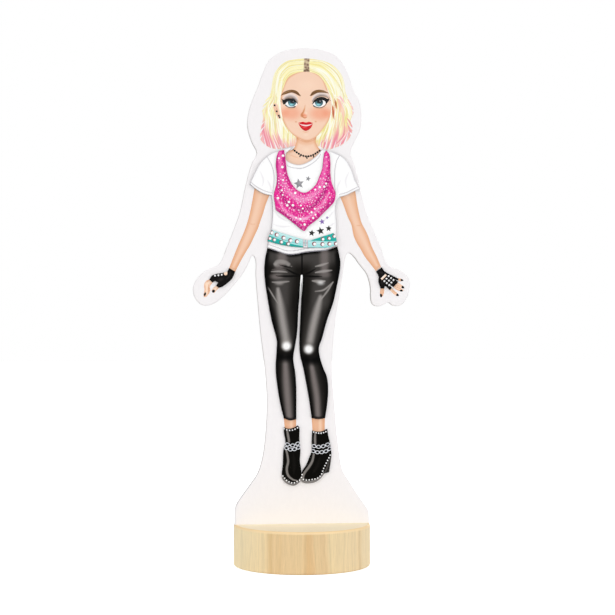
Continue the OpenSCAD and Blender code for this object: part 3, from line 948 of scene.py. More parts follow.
def strands(c):
    """A brush that draws wavy locks of hair, pale at the top and pink at the tips."""
    tones = (c.hair_light, c.hair_yellow, c.hair_light, c.hair_shade, c.hair_light, c.hair_yellow,
             c.hair_deep)

    def brush(places, colours):
        side, across, along = hair_flow(places)
        draw = np.random.default_rng(SEED)
        for half in (0, 1):
            rows = np.flatnonzero(side == half)
            u, t = across[rows], along[rows]
            broad = wobble(u + 0.05 * np.sin(6 * t + 2 * half) * t, 8, SEED + half)
            lay(colours, rows, c.hair_yellow, 0.8 * rise(broad, 0.35, 0.8) * rise(t, 0.05, 0.35))
            for i in range(STRANDS):
                middle, start, size, wide, phase = draw.random(5)
                begin = 0.85 * start - 0.15
                end = begin + 0.25 + 0.45 * size
                seen = rise(t, begin, begin + 0.1) * (1 - rise(t, end - 0.15, end))
                wave = 0.055 * np.sin(2 * np.pi * (0.95 * t + 0.5 * phase)) * rise(t, 0.2, 0.75)
                gap = np.abs(u - middle - wave) / (0.01 + 0.022 * wide)
                peach = i % 7 == 5 and begin > 0.28
                tone = c.skin if peach else tones[i % len(tones)]
                lay(colours, rows, tone, 0.95 * seen * rise(1 - gap, 0, 0.6))
            fine = wobble(u + 0.04 * np.sin(8 * t + half), 26, SEED + 4 + half)
            start = 0.96 - 0.14 * u**3 - 0.14 * (fine - 0.5)
            pink = rise(t, start - 0.1, start + 0.07)
            lay(colours, rows, c.hair_pink, 0.9 * pink)
            lay(colours, rows, c.hair_rose, 0.7 * pink * rise(fine, 0.55, 0.85))
            lay(colours, rows, c.hair_light, 0.6 * pink * rise(1 - fine, 0.6, 0.9))

    return brush


def hanging_locks(c):
    """Strands that hang straight down below the jaw, on the left."""
    tones = (c.hair_light, c.hair_yellow, c.hair_light, c.hair_shade, c.hair)
    draw = np.random.default_rng(SEED + 5)
    brushes = []
    for i in range(HANGING_LOCKS):
        shift, wide, lean, tip = draw.random(4)
        across = -10.4 + 0.43 * i + 0.3 * shift
        top = np.interp(across, [-9.7, -7.8, -4.9, -2.9], [196, 191.5, 189, 187.6])
        foot = across + 0.9 * (lean - 0.4)
        line = [(across, top), ((across + foot) / 2 - 0.25, (top + 182) / 2), (foot, 181)]
        brushes.append(stroke(tones[i % len(tones)], line, 0.6 + 0.7 * wide, 0.9, 0.8, (0.5, 0.6)))
        pink = c.hair_rose if i % 3 == 0 else c.hair_pink
        end = [(foot - 0.1, 187 - 2.4 * tip), (foot, 180.5)]
        brushes.append(stroke(pink, end, 0.95, 0.75, 0.9, (0.2, 1)))
    return brushes


def tip_gaps():
    """Narrow gaps without ink between the tips and at the outer edges of the locks."""
    draw = np.random.default_rng(SEED + 9)
    shapes = []
    for side in (0, 1):
        for u in np.arange(0.1, 1.0, 0.16):
            size, lean, wide = draw.random(3)
            half = 0.03 + 0.03 * wide
            apex = lock_place(side, u + 0.04 * (lean - 0.5), 0.985 - 0.12 * size)
            base = [lock_place(side, u - half, 1.09), lock_place(side, u + half, 1.09)]
            shapes.append(unprinted([base[0], apex, base[1]]))
        for t in np.arange(0.6, 1.0, 0.055):
            size, _, wide = draw.random(3)
            apex = lock_place(side, 0.94 - 0.16 * size * t, t - 0.06 - 0.06 * size)
            base = [lock_place(side, 1.15, t), lock_place(side, 1.15, t + 0.03 + 0.02 * wide)]
            shapes.append(unprinted([base[0], apex, base[1]]))
    return shapes


def hair_drawing(c):
    """The hair film: locks, parting, the ear with its studs, and gaps beside the face."""
    loops = outer_loops("hair_print")
    light, deep, pink, rose, warm = c.hair_light, c.hair_deep, c.hair_pink, c.hair_rose, c.skin_edge
    locks = (
        # Light locks along the face
        (light, [(-9.75, 215.25), (-10.5, 208.5), (-11, 204), (-10.25, 198.5), (-9.25, 193), (-6.75, 188.75)],
         1.3, 0.95, 0.6),
        (light, [(11.25, 212.5), (14.5, 204), (13.75, 197.5), (13, 190.5), (11, 184.75)], 1.4, 0.95, 0.6),
        (light, [(16.25, 214), (18, 208), (17.5, 200), (16.5, 192)], 0.9, 0.9, 0.6),
        # Olive and white strands over the locks
        (deep, [(-12.6, 208), (-13.6, 204.2), (-13.1, 197.4), (-12.9, 189.6)], 0.7, 0.8),
        (deep, [(-10.7, 197.4), (-8.2, 192.5), (-6.3, 188.7)], 0.9, 0.7),
        (light, [(-15.5, 205.2), (-16.5, 200.3), (-15, 194.5), (-14.6, 187.7)], 1.3, 0.95, 0.7),
        (light, [(-12.1, 197.4), (-11.2, 193.5), (-10.7, 187.7)], 1.1, 0.95, 0.7),
        (light, [(-7, 222), (-11, 217.5), (-12.3, 211.5), (-12.2, 206)], 1.8, 0.9, 0.8),
        (deep, [(16.5, 214.9), (19.4, 209.5), (21.3, 205.2)], 0.7, 0.8),
        (deep, [(17.5, 212.4), (19.9, 208.5), (20.4, 204.2)], 0.6, 0.8),
        (light, [(6.5, 220.5), (12.5, 217), (15.5, 211.5), (16.5, 206.6)], 1.8, 0.9, 0.8),
        # Warm and pink locks further out
        (c.skin, [(-18.9, 202.2), (-19.8, 197.4), (-19.2, 193.5)], 1.2, 0.6),
        (pink, [(-17, 201.3), (-18.4, 197.4)], 1.0, 0.35),
        (pink, [(17.5, 206.6), (19.4, 201.8), (20.4, 197.4)], 1.9, 0.55),
        (pink, [(18.4, 207.1), (20.9, 203.2)], 1.1, 0.7),
        (warm, [(17.3, 205.2), (17.9, 201.5), (17.6, 197.5)], 0.8, 0.5),
        (warm, [(19.4, 199.5), (19.6, 196), (18.6, 191.5)], 1.2, 0.4),
        (c.blush, [(16.8, 206.8), (18.3, 202.8), (18.5, 199.2)], 2.4, 0.5),
        (c.blush, [(22.3, 193.2), (23, 190), (21.8, 186.8)], 1.6, 0.45),
        (warm, [(17.6, 198.6), (17.4, 192.5), (16, 187)], 1.0, 0.4),
        (c.lips_deep, [(15.4, 202.6), (14.8, 199.2), (15.1, 197)], 0.45, 0.5),
        (warm, [(16.2, 197.5), (16, 193.5), (14.8, 189)], 0.9, 0.4),
        (light, [(13.6, 210), (16.5, 206.6), (19.4, 205), (21.6, 201.8)], 0.8, 0.95, 0.7),
        (light, [(21.3, 203.2), (23, 198.4), (23.6, 196.4)], 0.8, 0.95, 0.7),
        (c.skin_deep, [(15.8, 203.2), (15.1, 198.4), (15.9, 195.4)], 0.6, 0.6),
        (rose, [(21.8, 194.5), (23.2, 190.6), (23.6, 188.7)], 1.3, 0.7),
        (pink, [(20.4, 193.5), (21.6, 189.6), (20.9, 185.7)], 1.7, 0.5),
        (warm, [(-15, 212.25), (-15.25, 210), (-15.25, 207.75)], 0.7, 0.5),
        (pink, [(18, 207), (19.5, 205), (20.25, 203.5)], 1.0, 0.85),
        (rose, [(16.5, 203), (15.75, 200), (15.25, 197.25)], 0.7, 0.6),
        (pink, [(22.3, 205.6), (24.4, 201.8), (24.9, 197.4)], 1.5, 0.8),
        (rose, [(21.8, 196.4), (23.8, 193.5), (24.9, 191.1)], 1.3, 0.85),
        (pink, [(18.4, 201.3), (19.9, 197.4), (20.4, 193.5)], 1.0, 0.55),
        (pink, [(17.5, 194.5), (17, 190.6), (15.5, 186.7)], 1.1, 0.55),
        (rose, [(23.3, 190.6), (21.8, 187.7), (19.9, 184.8), (17.5, 182.8)], 1.4, 0.8),
        (rose, [(20.9, 188.7), (18.4, 185.7), (16, 183.3)], 1.1, 0.75),
        (light, [(22.2, 190), (19.9, 186.6), (17.4, 183.8)], 0.6, 0.8),
        (rose, [(13.8, 186), (13, 183.8), (12.4, 181.9)], 1.0, 0.7, 0.9, (0.2, 0.8)),
        (rose, [(10.4, 185.7), (9.3, 184), (8.7, 182.4)], 1.0, 0.7, 0.9, (0.2, 0.8)),
    )
    hair = ground(c.hair, strands(c), rim(c.hair_shade, loops, 0.4, 0.4), *hanging_locks(c),
                  *[stroke(*lock) for lock in locks])
    dark_roots = ((1.3, 218.8), (2.6, 219.2), (3.1, 220.4), (1.7, 220.6), (2.6, 221.9), (1.2, 222.3),
                  (3, 224), (1.8, 224.9))
    light_roots = ((2.2, 223.2), (1.2, 219.9), (3.2, 222.9), (1.1, 223.7))
    parting = patch(
        c.roots, [(0.8, 225.5, 1), (0.7, 222), (0.5, 218, 1), (3.6, 218, 1), (3.4, 222), (3.7, 225.5, 1)],
        stroke(c.roots_deep, [(0.5, 219), (2, 219.5), (3.5, 219)], 1.8, 0.7),
        stroke(c.roots_deep, [(1, 224.75), (2.25, 225), (3.5, 224.75)], 0.9, 0.6),
        *[spot(c.roots_deep, place, 0.75, 0.6, 0.75, 0.7) for place in dark_roots],
        *[spot(c.hair, place, 0.7, 0.6, 0.5, 0.7) for place in light_roots],
        *strokes(c.hair, ([(0.7, 225), (0.75, 222), (0.6, 219)], [(3.6, 225), (3.4, 222), (3.5, 219)]),
                 0.6, 0.6),
        step=0.2,
    )
    ear = patch(
        c.skin, [(-14, 203, 1), (-12.4, 202.9), (-11.2, 199.5), (-10.5, 195.6, 1), (-11.7, 195.7),
                 (-13.1, 198.5), (-14.2, 201.2)],
        stroke(c.skin_deep, [(-13.4, 202.3), (-12.4, 200.2), (-11.6, 197.2)], 0.7, 0.6),
        stroke(c.skin_edge, [(-13.7, 201.5), (-12.8, 198.8), (-11.2, 196)], 0.9, 0.8),
        step=FINE,
    )
    studs = [disc(c.lash, place, size, brushes=(spot(c.lid, place, 0.22, strength=0.5),))
             for place, size in (((-13.45, 202.1), 0.5), ((-12.45, 199.2), 0.46), ((-11.4, 197.1), 0.5),
                                 ((-11, 196.3), 0.42))]
    gaps = [
        patch(c.skin_deep, [(14.4, 203.2, 1), (15.2, 201), (15.6, 198.5), (15, 195.5, 1), (14.5, 199)],
              stroke(c.lips_deep, [(14.7, 201.5), (15.1, 199), (15, 196.5)], 0.6, 0.5), step=FINE),
        patch(c.skin_deep, [(15.6, 206, 1), (16.75, 203.75), (16.9, 200.5, 1), (15.9, 202.5)],
              stroke(c.brow, [(15.9, 204.8), (16.5, 202)], 0.6, 0.6), step=FINE),
        patch(c.blush, [(9.6, 215, 1), (10.75, 213.4), (11.7, 210.5, 1), (10.6, 211.6)],
              stroke(c.hair_light, [(10.3, 213.6), (11, 211.6)], 0.3, 0.6), step=FINE),
    ]
    return [hair, parting, ear, *studs, *gaps, *tip_gaps()]


# Drawings of the clothes


def tshirt_drawing(c):
    """A plain white T-shirt with drawn seams and a few plain stars."""
    loops = outer_loops("tshirt_print")
    creases = ([(-13.5, 151), (-11, 148), (-7.5, 146.25)], [(15, 151), (12.5, 148), (9.5, 146.5)],
               [(-14, 144.5), (-10, 143.5), (-6, 143.75)], [(15.5, 145.5), (13, 143.5)],
               [(-17, 166), (-15.5, 162.5), (-15, 160)], [(18.5, 166), (17, 162.5), (17.5, 160)],
               [(-20.5, 170), (-19, 166), (-19.5, 163)], [(22.5, 170), (21, 166), (21.5, 162.5)])
    # Armholes, sleeve hems, collar and bottom hem
    seams = ([(-17.5, 177.5), (-14.75, 172.5), (-13.75, 167), (-14.5, 159.5)],
             [(18, 178.25), (16.5, 175), (15.75, 170.5), (15.75, 163), (16.25, 159)],
             [(-25.25, 165), (-22, 162.5), (-18.5, 160.75), (-15, 159.75)],
             [(18, 159.25), (21.5, 160.25), (24.5, 161.75), (27.5, 163.25)],
             [(-8, 173.75), (-7, 172.75), (-4.5, 172), (-0.5, 171.75), (3.25, 173.25), (6.75, 175.75),
              (9, 178.75)],
             [(-16.75, 135), (-12.5, 133.5), (-8, 132), (-3.5, 132), (1.5, 133), (6.5, 133.5), (11.5, 134),
              (16.75, 136)])
    shoulders = ([(-18, 177.25), (-14.5, 179.25)], [(18, 178.25), (14.5, 179.75)])
    shirt = ground(
        c.white,
        rim(c.soft_grey, loops, 1.3, 0.4),
        *strokes(c.soft_grey, creases, 1.3, 0.75),
        rim(c.line, loops, 0.28, 0.6, 0.7),
        *strokes(c.line, seams, 0.55, 0.9, 0.7, (0.7, 0.7)),
        *strokes(c.line, shoulders, 0.55, 0.5, 0.7, (0.7, 0.7)),
    )
    return [
        shirt,
        star(c.grey_motif, (-1.75, 164.25), 2.6, 10, (spot(c.line, (-1.25, 164.75), 1.2, strength=0.6),)),
        star(c.grey_motif, (2.75, 166.75), 1.3, -15),
        star(c.violet_motif, (9.5, 146), 1.5, 8),
        star(c.violet_motif, (12, 148), 0.8, -12),
        star(c.boot, (4.5, 140.5), 1.7, -8),
        star(c.boot, (8.75, 141.5), 2, 12),
        star(c.boot, (12.75, 142.75), 1.6, -4),
    ]


def scarf_drawing(c):
    """A sequinned neckerchief: soft folds that follow its curve, hems and points of light."""
    loops = outer_loops("scarf_print")
    hem_left = [(-13, 152.1), (-8, 148.75), (-3.5, 145.25), (0.75, 142.25)]
    hem_right = [(15.5, 157), (13.25, 154.25), (9.75, 150.75), (6.75, 147.75), (2.25, 144.25), (0.75, 142.25)]
    light, deep = c.scarf_light, c.scarf_deep
    folds = (
        # Light on the straps, in the bowl and along the lower fold
        (light, [(-10.9, 179), (-10.75, 170), (-8.75, 163), (-5, 158.5), (0, 156.75), (5, 158.5),
                 (9, 163.5), (10.75, 172), (11.25, 177)], 5.4, 0.6, 0.9, (0.5, 0.5)),
        (light, [(-7, 161), (-3.5, 157.5), (0, 156.25), (3.5, 157.25), (6.5, 160)], 5.2, 0.62),
        (light, [(-12.5, 157), (-8, 150.75), (-2.5, 147.25), (2.5, 148), (8.5, 153.25), (13, 160)],
         2.9, 0.85, 0.9, (0.5, 0.5)),
        (light, [(8.5, 153.5), (11, 156.5), (13, 160.5)], 1.4, 0.6),
        (c.sequin, [(-5, 148.8), (-1, 147.1), (3.5, 148.3)], 2.2, 0.6),
        # Dark folds
        (deep, [(-12.25, 165), (-10, 158.5), (-7, 154.5), (-2.5, 152)], 2.4, 0.9, 0.9, (0.5, 0.3)),
        (deep, [(12.6, 169), (11, 161.5), (8, 156.5), (3, 151.75)], 3, 0.95, 0.9, (0.5, 0.3)),
        (deep, [(-5, 153), (0, 151.25), (5, 153)], 3.2, 0.85),
        (deep, [(-9.4, 179.5), (-8.5, 171), (-6.5, 165.5), (-3.5, 161.75)], 2.0, 0.95, 0.8, (0.9, 0.3)),
        (deep, [(-12.5, 179), (-12.4, 171), (-11.75, 164)], 1.2, 0.95, 0.8, (0.8, 0.6)),
        (deep, [(12.75, 178), (13.1, 171), (12.75, 165)], 1.2, 0.9, 0.9, (0.6, 0.6)),
        (deep, [(-2.5, 161), (1, 160.25), (5, 162)], 0.8, 0.7),
        (deep, [(-10.65, 160.2), (-9, 156.9), (-6.9, 154), (-2.7, 152.5)], 2.1, 0.92, 0.8),
        (deep, [(12.3, 166.1), (10.6, 161), (8.5, 156.9), (5.6, 154), (1.4, 152.5)], 2.4, 0.92, 0.8),
        (deep, [(6.9, 149), (10.2, 152), (12.7, 154.8), (15, 157.5)], 1.2, 0.8, 0.8),
        # Hems
        (deep, hem_left, 2.2, 0.95, 0.6, (0.8, 0.5)),
        (deep, hem_right, 1.8, 0.85, 0.7, (0.8, 0.5)),
        (light, raised(hem_left, 1.2), 0.5, 0.7),
    )
    edges = (rim(c.scarf_deep, loops, 0.45, 0.6), rim(c.scarf, loops, 0.2, 0.8))
    return [ground(c.scarf, *[stroke(*fold) for fold in folds], *edges), *sparkles(c, loops)]


def sparkles(c, loops):
    """Sequins of mixed sizes that catch the light, kept off the scarf's edges and dense in its lit folds."""
    draw = np.random.default_rng(SEED)
    spots = np.concatenate(loops)
    outline = np.vstack([loops[0], loops[0][:1]])
    folds = ([(-9, 164), (-5, 158.5), (0, 156.75), (5, 158.5), (9.5, 165)],
             [(-10, 154), (-6, 149.5), (-1, 147.25), (3.5, 148.75), (9, 154), (12.5, 159)])
    spacing = 0.25
    margin = 0.35
    tries_each = 14
    shapes = []
    kept = []

    def scatter(tries, low, high, count, tone):
        sizes = draw.uniform(low, high, len(tries))
        fits = inside(tries, loops)
        edge, _ = from_path(tries, outline, 2)
        wanted = len(kept) + count
        for place, size, distance in zip(tries[fits], sizes[fits], edge[fits]):
            clear = all(np.hypot(*(place - other)) > size + reach + spacing for other, reach in kept)
            if distance > size + margin and clear and len(kept) < wanted:
                kept.append((place, size))
                shapes.append(Patch(ring(place, size, count=12), tone, (), None))

    for low, high, count, tone in ((0.42, 0.68, 24, c.white), (0.28, 0.46, 70, c.sequin),
                                   (0.18, 0.28, 110, c.scarf_light)):
        scatter(draw.uniform(spots.min(0), spots.max(0), (count * tries_each, 2)), low, high, count, tone)
    for fold, count in zip(folds, (180, 60)):
        line = np.repeat(spaced(fold, count), 4, axis=0)
        draw.shuffle(line)
        scatter(line + draw.normal(0, 1.6, line.shape), 0.18, 0.32, count, c.sequin)
    return shapes


def belt_drawing(c):
    """Two studded straps that cross behind a light buckle."""
    light_left = [(-15.25, 142.25, 1), (-10.5, 140.75), (-5.5, 139.25), (0.75, 137.75, 1), (0.75, 134, 1),
                  (-5.5, 135.25), (-11, 137.2), (-16.25, 139.25, 1)]
    dark_right = [(4, 136.75, 1), (8.5, 138.5), (15.25, 141, 1), (16.75, 137.1, 1), (10, 136.75)]
    straps = [
        ground(c.belt_dark,
               stroke(c.leather_edge, [(-17, 137), (-11, 135.25), (-5, 134.25), (1, 133.75)], 0.7, 0.25)),
        patch(c.belt_light, light_left,
              stroke(c.belt_dark, [(-16, 139.5), (-11, 137.75), (-5.5, 136.1), (0.75, 134.75)], 0.6, 0.6),
              stroke(c.white, [(-14.5, 141.25), (-10, 139.75), (-5, 138.25), (0, 136.75)], 1.0, 0.45)),
        patch(c.belt_light,
              [(2, 137.25, 1), (6, 136.9), (11, 136.5), (17.75, 136.75, 1), (17.75, 133, 1), (2, 133, 1)],
              stroke(c.white, [(3, 135.75), (9, 135.5), (16.5, 135.5)], 1.0, 0.45),
              stroke(c.belt_dark, [(2, 133.5), (9, 133.5), (17, 135)], 0.5, 0.5)),
        patch(c.belt_dark, dark_right,
              stroke(c.leather_edge, [(4.5, 137), (10, 136.9), (16.5, 137.5)], 0.5, 0.3)),
    ]
    large = ((-15.1, 140.6), (-12.6, 139.6), (-9.3, 138.1), (-6, 136.9), (-2.8, 136.4),
             (5.6, 135.25), (9.6, 135.1), (13, 135.3), (16.2, 135.4))
    small = ((-16, 137.8), (-13.8, 137.2), (-10.4, 136.1), (-7.1, 135.25), (9.7, 137.6), (12.8, 138),
             (15.3, 139))
    studs = []
    for places, radius in ((large, 1.05), (small, 0.9)):
        for place in places:
            studs += stud_shapes(c, place, radius)
    return [*straps, *studs, *buckle_shapes(c)]


def stud_shapes(c, place, radius):
    """A domed stud: a dark shaded side to the upper left and a light face."""
    across, up = place
    face = (across + 0.27 * radius, up - 0.12 * radius)
    grey = spot(c.lid_light, (across + 0.7 * radius, up - 0.6 * radius), 0.7 * radius, strength=0.8)
    shade = disc(c.stud_shade, place, radius, step=0.16)
    return [shade, disc(c.eye_white, face, 0.7 * radius, brushes=(grey,))]


def buckle_shapes(c):
    """A light square buckle frame with its tongue."""
    frame_line = [(0.2, 137.9, 1), (2.5, 137.9, 1), (2.5, 133.3, 1), (0.2, 133.3, 1)]
    hole = [(0.9, 137.2, 1), (1.8, 137.2, 1), (1.8, 134.2, 1), (0.9, 134.2, 1)]
    return [
        patch(c.soft_grey, frame_line, rim(c.stud_shade, [smooth(frame_line)], 0.4, 0.6), step=0.18),
        patch(c.belt_light, hole, rim(c.stud_shade, [smooth(hole)], 0.35, 0.7), step=0.18),
        patch(c.line, [(0.4, 136, 1), (2.3, 135.9, 1), (2.3, 135.45, 1), (0.4, 135.4, 1)],
              stroke(c.white, [(0.5, 135.8), (2.1, 135.75)], 0.2), step=0.18),
    ]


def leggings_drawing(c):
    """Black shiny leggings: light down the legs, creases at the hips and bright knees."""
    loops = outer_loops("leggings_print")
    light, grey, dark = c.leather_light, c.leather_sheen, c.leather_edge

    def glow(points, width, strength):
        return stroke(c.leather_glow, points, width, strength, 0.85, (0.9, 0.9))

    def sheen(points, width, strength=0.9):
        return stroke(light, points, width, strength, 0.8, (0.35, 0.35))

    def crease(points, width=1.2):
        return stroke(dark, points, width)

    cloth = ground(
        c.leather,
        # Broad soft light on the hips, thighs and shins
        glow([(-13, 129), (0, 129.5), (13, 129)], 15, 0.9),
        glow([(-9, 124), (-9.5, 117), (-11, 108)], 16, 0.8),
        glow([(8.5, 125), (9, 117), (9.5, 108)], 16, 0.8),
        glow([(-11, 118), (-10, 104), (-7.75, 89)], 13, 0.85),
        glow([(9.75, 118), (6.75, 104), (3.5, 88)], 13, 0.85),
        glow([(-8.25, 80), (-7.5, 68), (-6, 50)], 9, 0.6),
        glow([(4.5, 79), (6.5, 67), (8, 50)], 8.5, 0.6),
        # Bright bands down the thighs and the shins
        stroke(light, [(-11.9, 113.4), (-10.75, 105), (-9.5, 97), (-8, 88.5)], 6.8, 0.95, 0.95, (0.45, 1.0)),
        stroke(light, [(8.8, 109.6), (7.25, 104), (5.25, 96), (3.75, 88.5)], 6.6, 0.95, 0.95, (0.55, 0.95)),
        stroke(grey, [(-8.5, 80.5), (-7.8, 68), (-6.4, 50.5)], 6.4, 1.0, 0.95, (0.6, 0.85)),
        stroke(grey, [(4, 79), (5.7, 69), (6.9, 61.5), (7.6, 50.5)], 5.4, 1.0, 0.95, (0.6, 0.85)),
        # Dark sides, and light on the hips in blots and creases
        *strokes(dark, ([(-17.6, 130), (-18, 121), (-16.5, 108), (-13.75, 95)],
                        [(17, 130), (17.5, 120), (15, 107), (11, 94)]), 4.4, 0.8, 1.0, (0.9, 0.9)),
        spot(grey, (-12.5, 119.5), 4.8, 2.2, 0.8, 0.8),
        spot(grey, (11, 120.5), 4.2, 2.4, 0.7, 0.8),
        stroke(grey, [(-14.8, 122.6), (-11.5, 122.9), (-8.4, 122.5)], 2.8, 0.6, 1.0),
        sheen([(-15.25, 121.75), (-11.5, 121.9), (-7.5, 121.6)], 1.5),
        sheen([(-14.75, 116.75), (-11.5, 116.6), (-6.5, 117.1)], 2.0, 0.8),
        spot(light, (-11.3, 116.1), 3.2, 1.6, 0.7, 1.0),
        sheen([(-17, 114.75), (-14.5, 110.5), (-12, 106.5)], 1.2, 0.85),
        sheen([(4.75, 117.4), (8.5, 117.1), (11, 117.3)], 2.6),
        spot(c.film, (8.9, 116.4), 2.8, 1.8, 0.65),
        sheen([(6, 112.25), (10.5, 113.1), (15, 117)], 1.4),
        sheen([(8.75, 108), (12.5, 113), (15, 117)], 1.4),
        # Dark folds from the crotch and below the knees
        crease([(-8, 123.25), (-4.5, 121.25), (-1, 120)]),
        crease([(-13, 119.75), (-7.5, 119.6), (-1, 119.75)], 1.4),
        crease([(0.5, 120.25), (3.5, 121.5), (6.5, 123.25)]),
        crease([(0.5, 119.75), (5, 119.5), (9.5, 119.5)], 1.4),
        *strokes(dark, ([(-13, 81), (-8, 80.5), (-4, 81)], [(-1, 79.5), (4, 79), (9, 79.5)]),
                 7.5, 0.9, 1.0, (0.9, 0.9)),
        # Knees
        *[spot(light, place, 4.2, strength=0.8) for place in ((-7.75, 86.25), (3, 84.75))],
        *[spot(c.eye_white, place, 3.1, soft=0.7) for place in ((-7.75, 85.85), (3, 84.3))],
        # Seam, dark edges, and light just below the belt and along the hems
        stroke(dark, [(-0.25, 132), (-0.25, 126), (-0.25, 119.5)], 0.9, 1.0, 0.5, (1, 1)),
        rim(dark, loops, 1.7, 1.0, 0.9),
        stroke(grey, [(-9.7, 134.5), (-9.7, 130), (-10.2, 125)], 8, 0.85, 0.85, (1, 0.6)),
        stroke(grey, [(10.7, 135.5), (10.7, 130), (10.7, 123)], 7.2, 0.85, 0.85, (1, 0.8)),
        spot(grey, (-12, 124.4), 2.8, 1.9, 0.6),
        stroke(light, [(-13.3, 125.5), (-12.2, 126.5), (-10, 126.6), (-8, 126.1), (-6.8, 125.3)],
               3, 0.75, 0.65, (0.8, 0.9)),
        spot(light, (-12.5, 125.2), 2.0, 1.8, 0.6, 0.8),
        crease([(-11.2, 125), (-8.2, 124.3), (-5, 123.6)], 0.9),
        spot(light, (-5.4, 124.3), 0.7, 0.5, 0.6),
        sheen([(6.25, 124.35), (9.5, 125.1), (12.5, 126.1)], 1.8),
        sheen([(6.25, 121.4), (10, 122), (14.25, 122.5)], 2.2),
        *strokes(grey, ([(-8.5, 51), (-6, 50.4), (-3.5, 50.9)], [(5, 51.3), (8, 50.9), (10.5, 51.3)]),
                 0.5, 0.5),
    )
    # The narrow top of the gap between the legs is left white on the film
    gap = patch(c.white, [(-0.85, 119.7), (-0.38, 120.3), (0.1, 119.7), (-0.3, 112), (-0.7, 107.5, 1),
                          (-1.6, 107.5, 1), (-1.3, 112)], step=0.2)
    return [cloth, gap]


def boots_drawing(c):
    """Black ankle boots with studs, two rows of chain and a ridged heel."""
    loops = outer_loops("boots_print")
    left_sole = [(-10, 23.25), (-9.25, 21.5), (-7.75, 20.1), (-5.75, 19), (-4, 18.8), (-2.25, 19.4),
                 (-1, 20.75)]
    right_sole = [(-1, 21.5), (0.5, 20.25), (3, 19.9), (5.5, 20.2), (8, 21.5), (9.75, 23.4), (10.5, 24.5)]
    leather = ground(
        c.boot,
        stroke(c.boot_sheen, [(-7.5, 45.25), (-7, 42.5), (-6.5, 39.75)], 1.7, 0.95, 0.6, (0.7, 0.9)),
        stroke(c.boot_sheen, [(-7.9, 35.75), (-7.25, 32.75), (-7, 30), (-7.6, 27), (-7.4, 24.5), (-6.4, 22.7),
                              (-4.6, 21.4), (-2.5, 20.75)], 1.7, 0.95, 0.6, (0.8, 0.6)),
        stroke(c.boot_sheen, [(6.2, 43.75), (6.1, 41), (6.2, 38.5)], 1.7, 0.95, 0.6, (0.7, 0.9)),
        stroke(c.boot_sheen, [(5.5, 33.5), (4.75, 30.25), (3, 27.25), (1.25, 25), (0.4, 23.25), (0.25, 21.5)],
               1.8, 0.95, 0.6, (0.8, 0.9)),
        stroke(c.leather, [(-4.5, 34), (-4, 29), (-4.25, 24)], 3, 0.9),
        stroke(c.leather, [(8.5, 32), (7, 27.5), (5, 24.5)], 3.2, 0.9),
        rim(c.leather_edge, loops, 0.7, 0.8),
        stroke(c.sole, left_sole, 1.8, 0.95, 0.4, (0.7, 0.7)),
        stroke(c.sole, right_sole, 2.0, 0.95, 0.4, (0.7, 0.6)),
    )
    heel = patch(
        c.leather_glow, [(14.25, 33.5, 1), (13.1, 31.5, 1), (11.25, 26.5), (10.25, 24.1, 1),
                         (13.25, 24.1, 1)],
        *[stroke(c.leather_edge, [(13.75 - 0.1 * i, 32 - 1.5 * i), (12.25 - 0.4 * i, 24.25)], 0.35, 0.75)
          for i in range(4)],
        stroke(c.leather_edge, [(10.25, 24.4), (13.2, 24.4)], 0.7, 0.9),
        step=0.2,
    )
    shapes = [leather, heel]
    chains = ([(-8.5, 38.9), (-5.75, 37.9), (-3.5, 38.2), (-1.25, 39.4)],
              [(-8.75, 37), (-5.5, 35.9), (-3, 36.4), (-1.1, 37.4)],
              [(4.5, 37.75), (7.75, 37.1), (10.25, 37.4), (13.25, 38.6)],
              [(4.25, 35.4), (7, 34.5), (9.75, 34.6), (12.25, 35.3), (13.9, 36.9)])
    for path in chains:
        shapes += chain_shapes(c, path)
    rows = (([(-8.9, 46), (-7, 45.3), (-4.75, 45.3), (-2.4, 46.4)], 6),
            ([(5.5, 44.3), (7.5, 43.75), (9.5, 43.75), (11.4, 44.4)], 6),
            ([(-9.5, 23.2), (-7.5, 20.9), (-4.4, 19.75), (-1.4, 21)], 8),
            ([(13.5, 33), (12, 30), (10.2, 26.4), (9.1, 23.5), (7.4, 22), (4, 21.2), (1, 21.2), (-0.5, 22.4),
              (-0.2, 23.75)], 17))
    for path, count in rows:
        for place in spaced(path, count):
            shapes.append(disc(c.eye_white, place, 0.34, brushes=(spot(c.chain, place + (0.2, -0.2), 0.3),)))
    return shapes


def chain_shapes(c, path):
    """A row of oval links, with short side-on links between them."""
    line = smooth(path, closed=False)
    size = np.sum(np.linalg.norm(np.diff(line, axis=0), axis=1))
    places = evenly(line, 2 * max(2, round(size / 2.3)) + 1)
    shapes = []
    for i in range(len(places)):
        way = places[min(i + 1, len(places) - 1)] - places[max(i - 1, 0)]
        turn = math.degrees(math.atan2(way[1], way[0]))
        if i % 2:
            shine = rim(c.eye_white, [ring(places[i], 1.15, 0.9, turn)], 0.25, 0.8)
            shapes.append(disc(c.chain, places[i], 1.15, 0.9, turn, (shine,), FINE))
            shapes.append(disc(c.boot, places[i], 0.78, 0.56, turn))
        else:
            shapes.append(disc(c.chain, places[i], 0.5, 0.2, turn))
    return shapes


def glove_studs(c, places, radius, drop):
    """Small light studs. The shade on each lies to the right, and a drop lower."""
    shapes = []
    for across, up in places:
        shade = spot(c.line, (across + 0.3, up - drop), 0.4)
        shapes.append(disc(c.eye_white, (across, up), radius, brushes=(shade,), step=FINE))
    return shapes


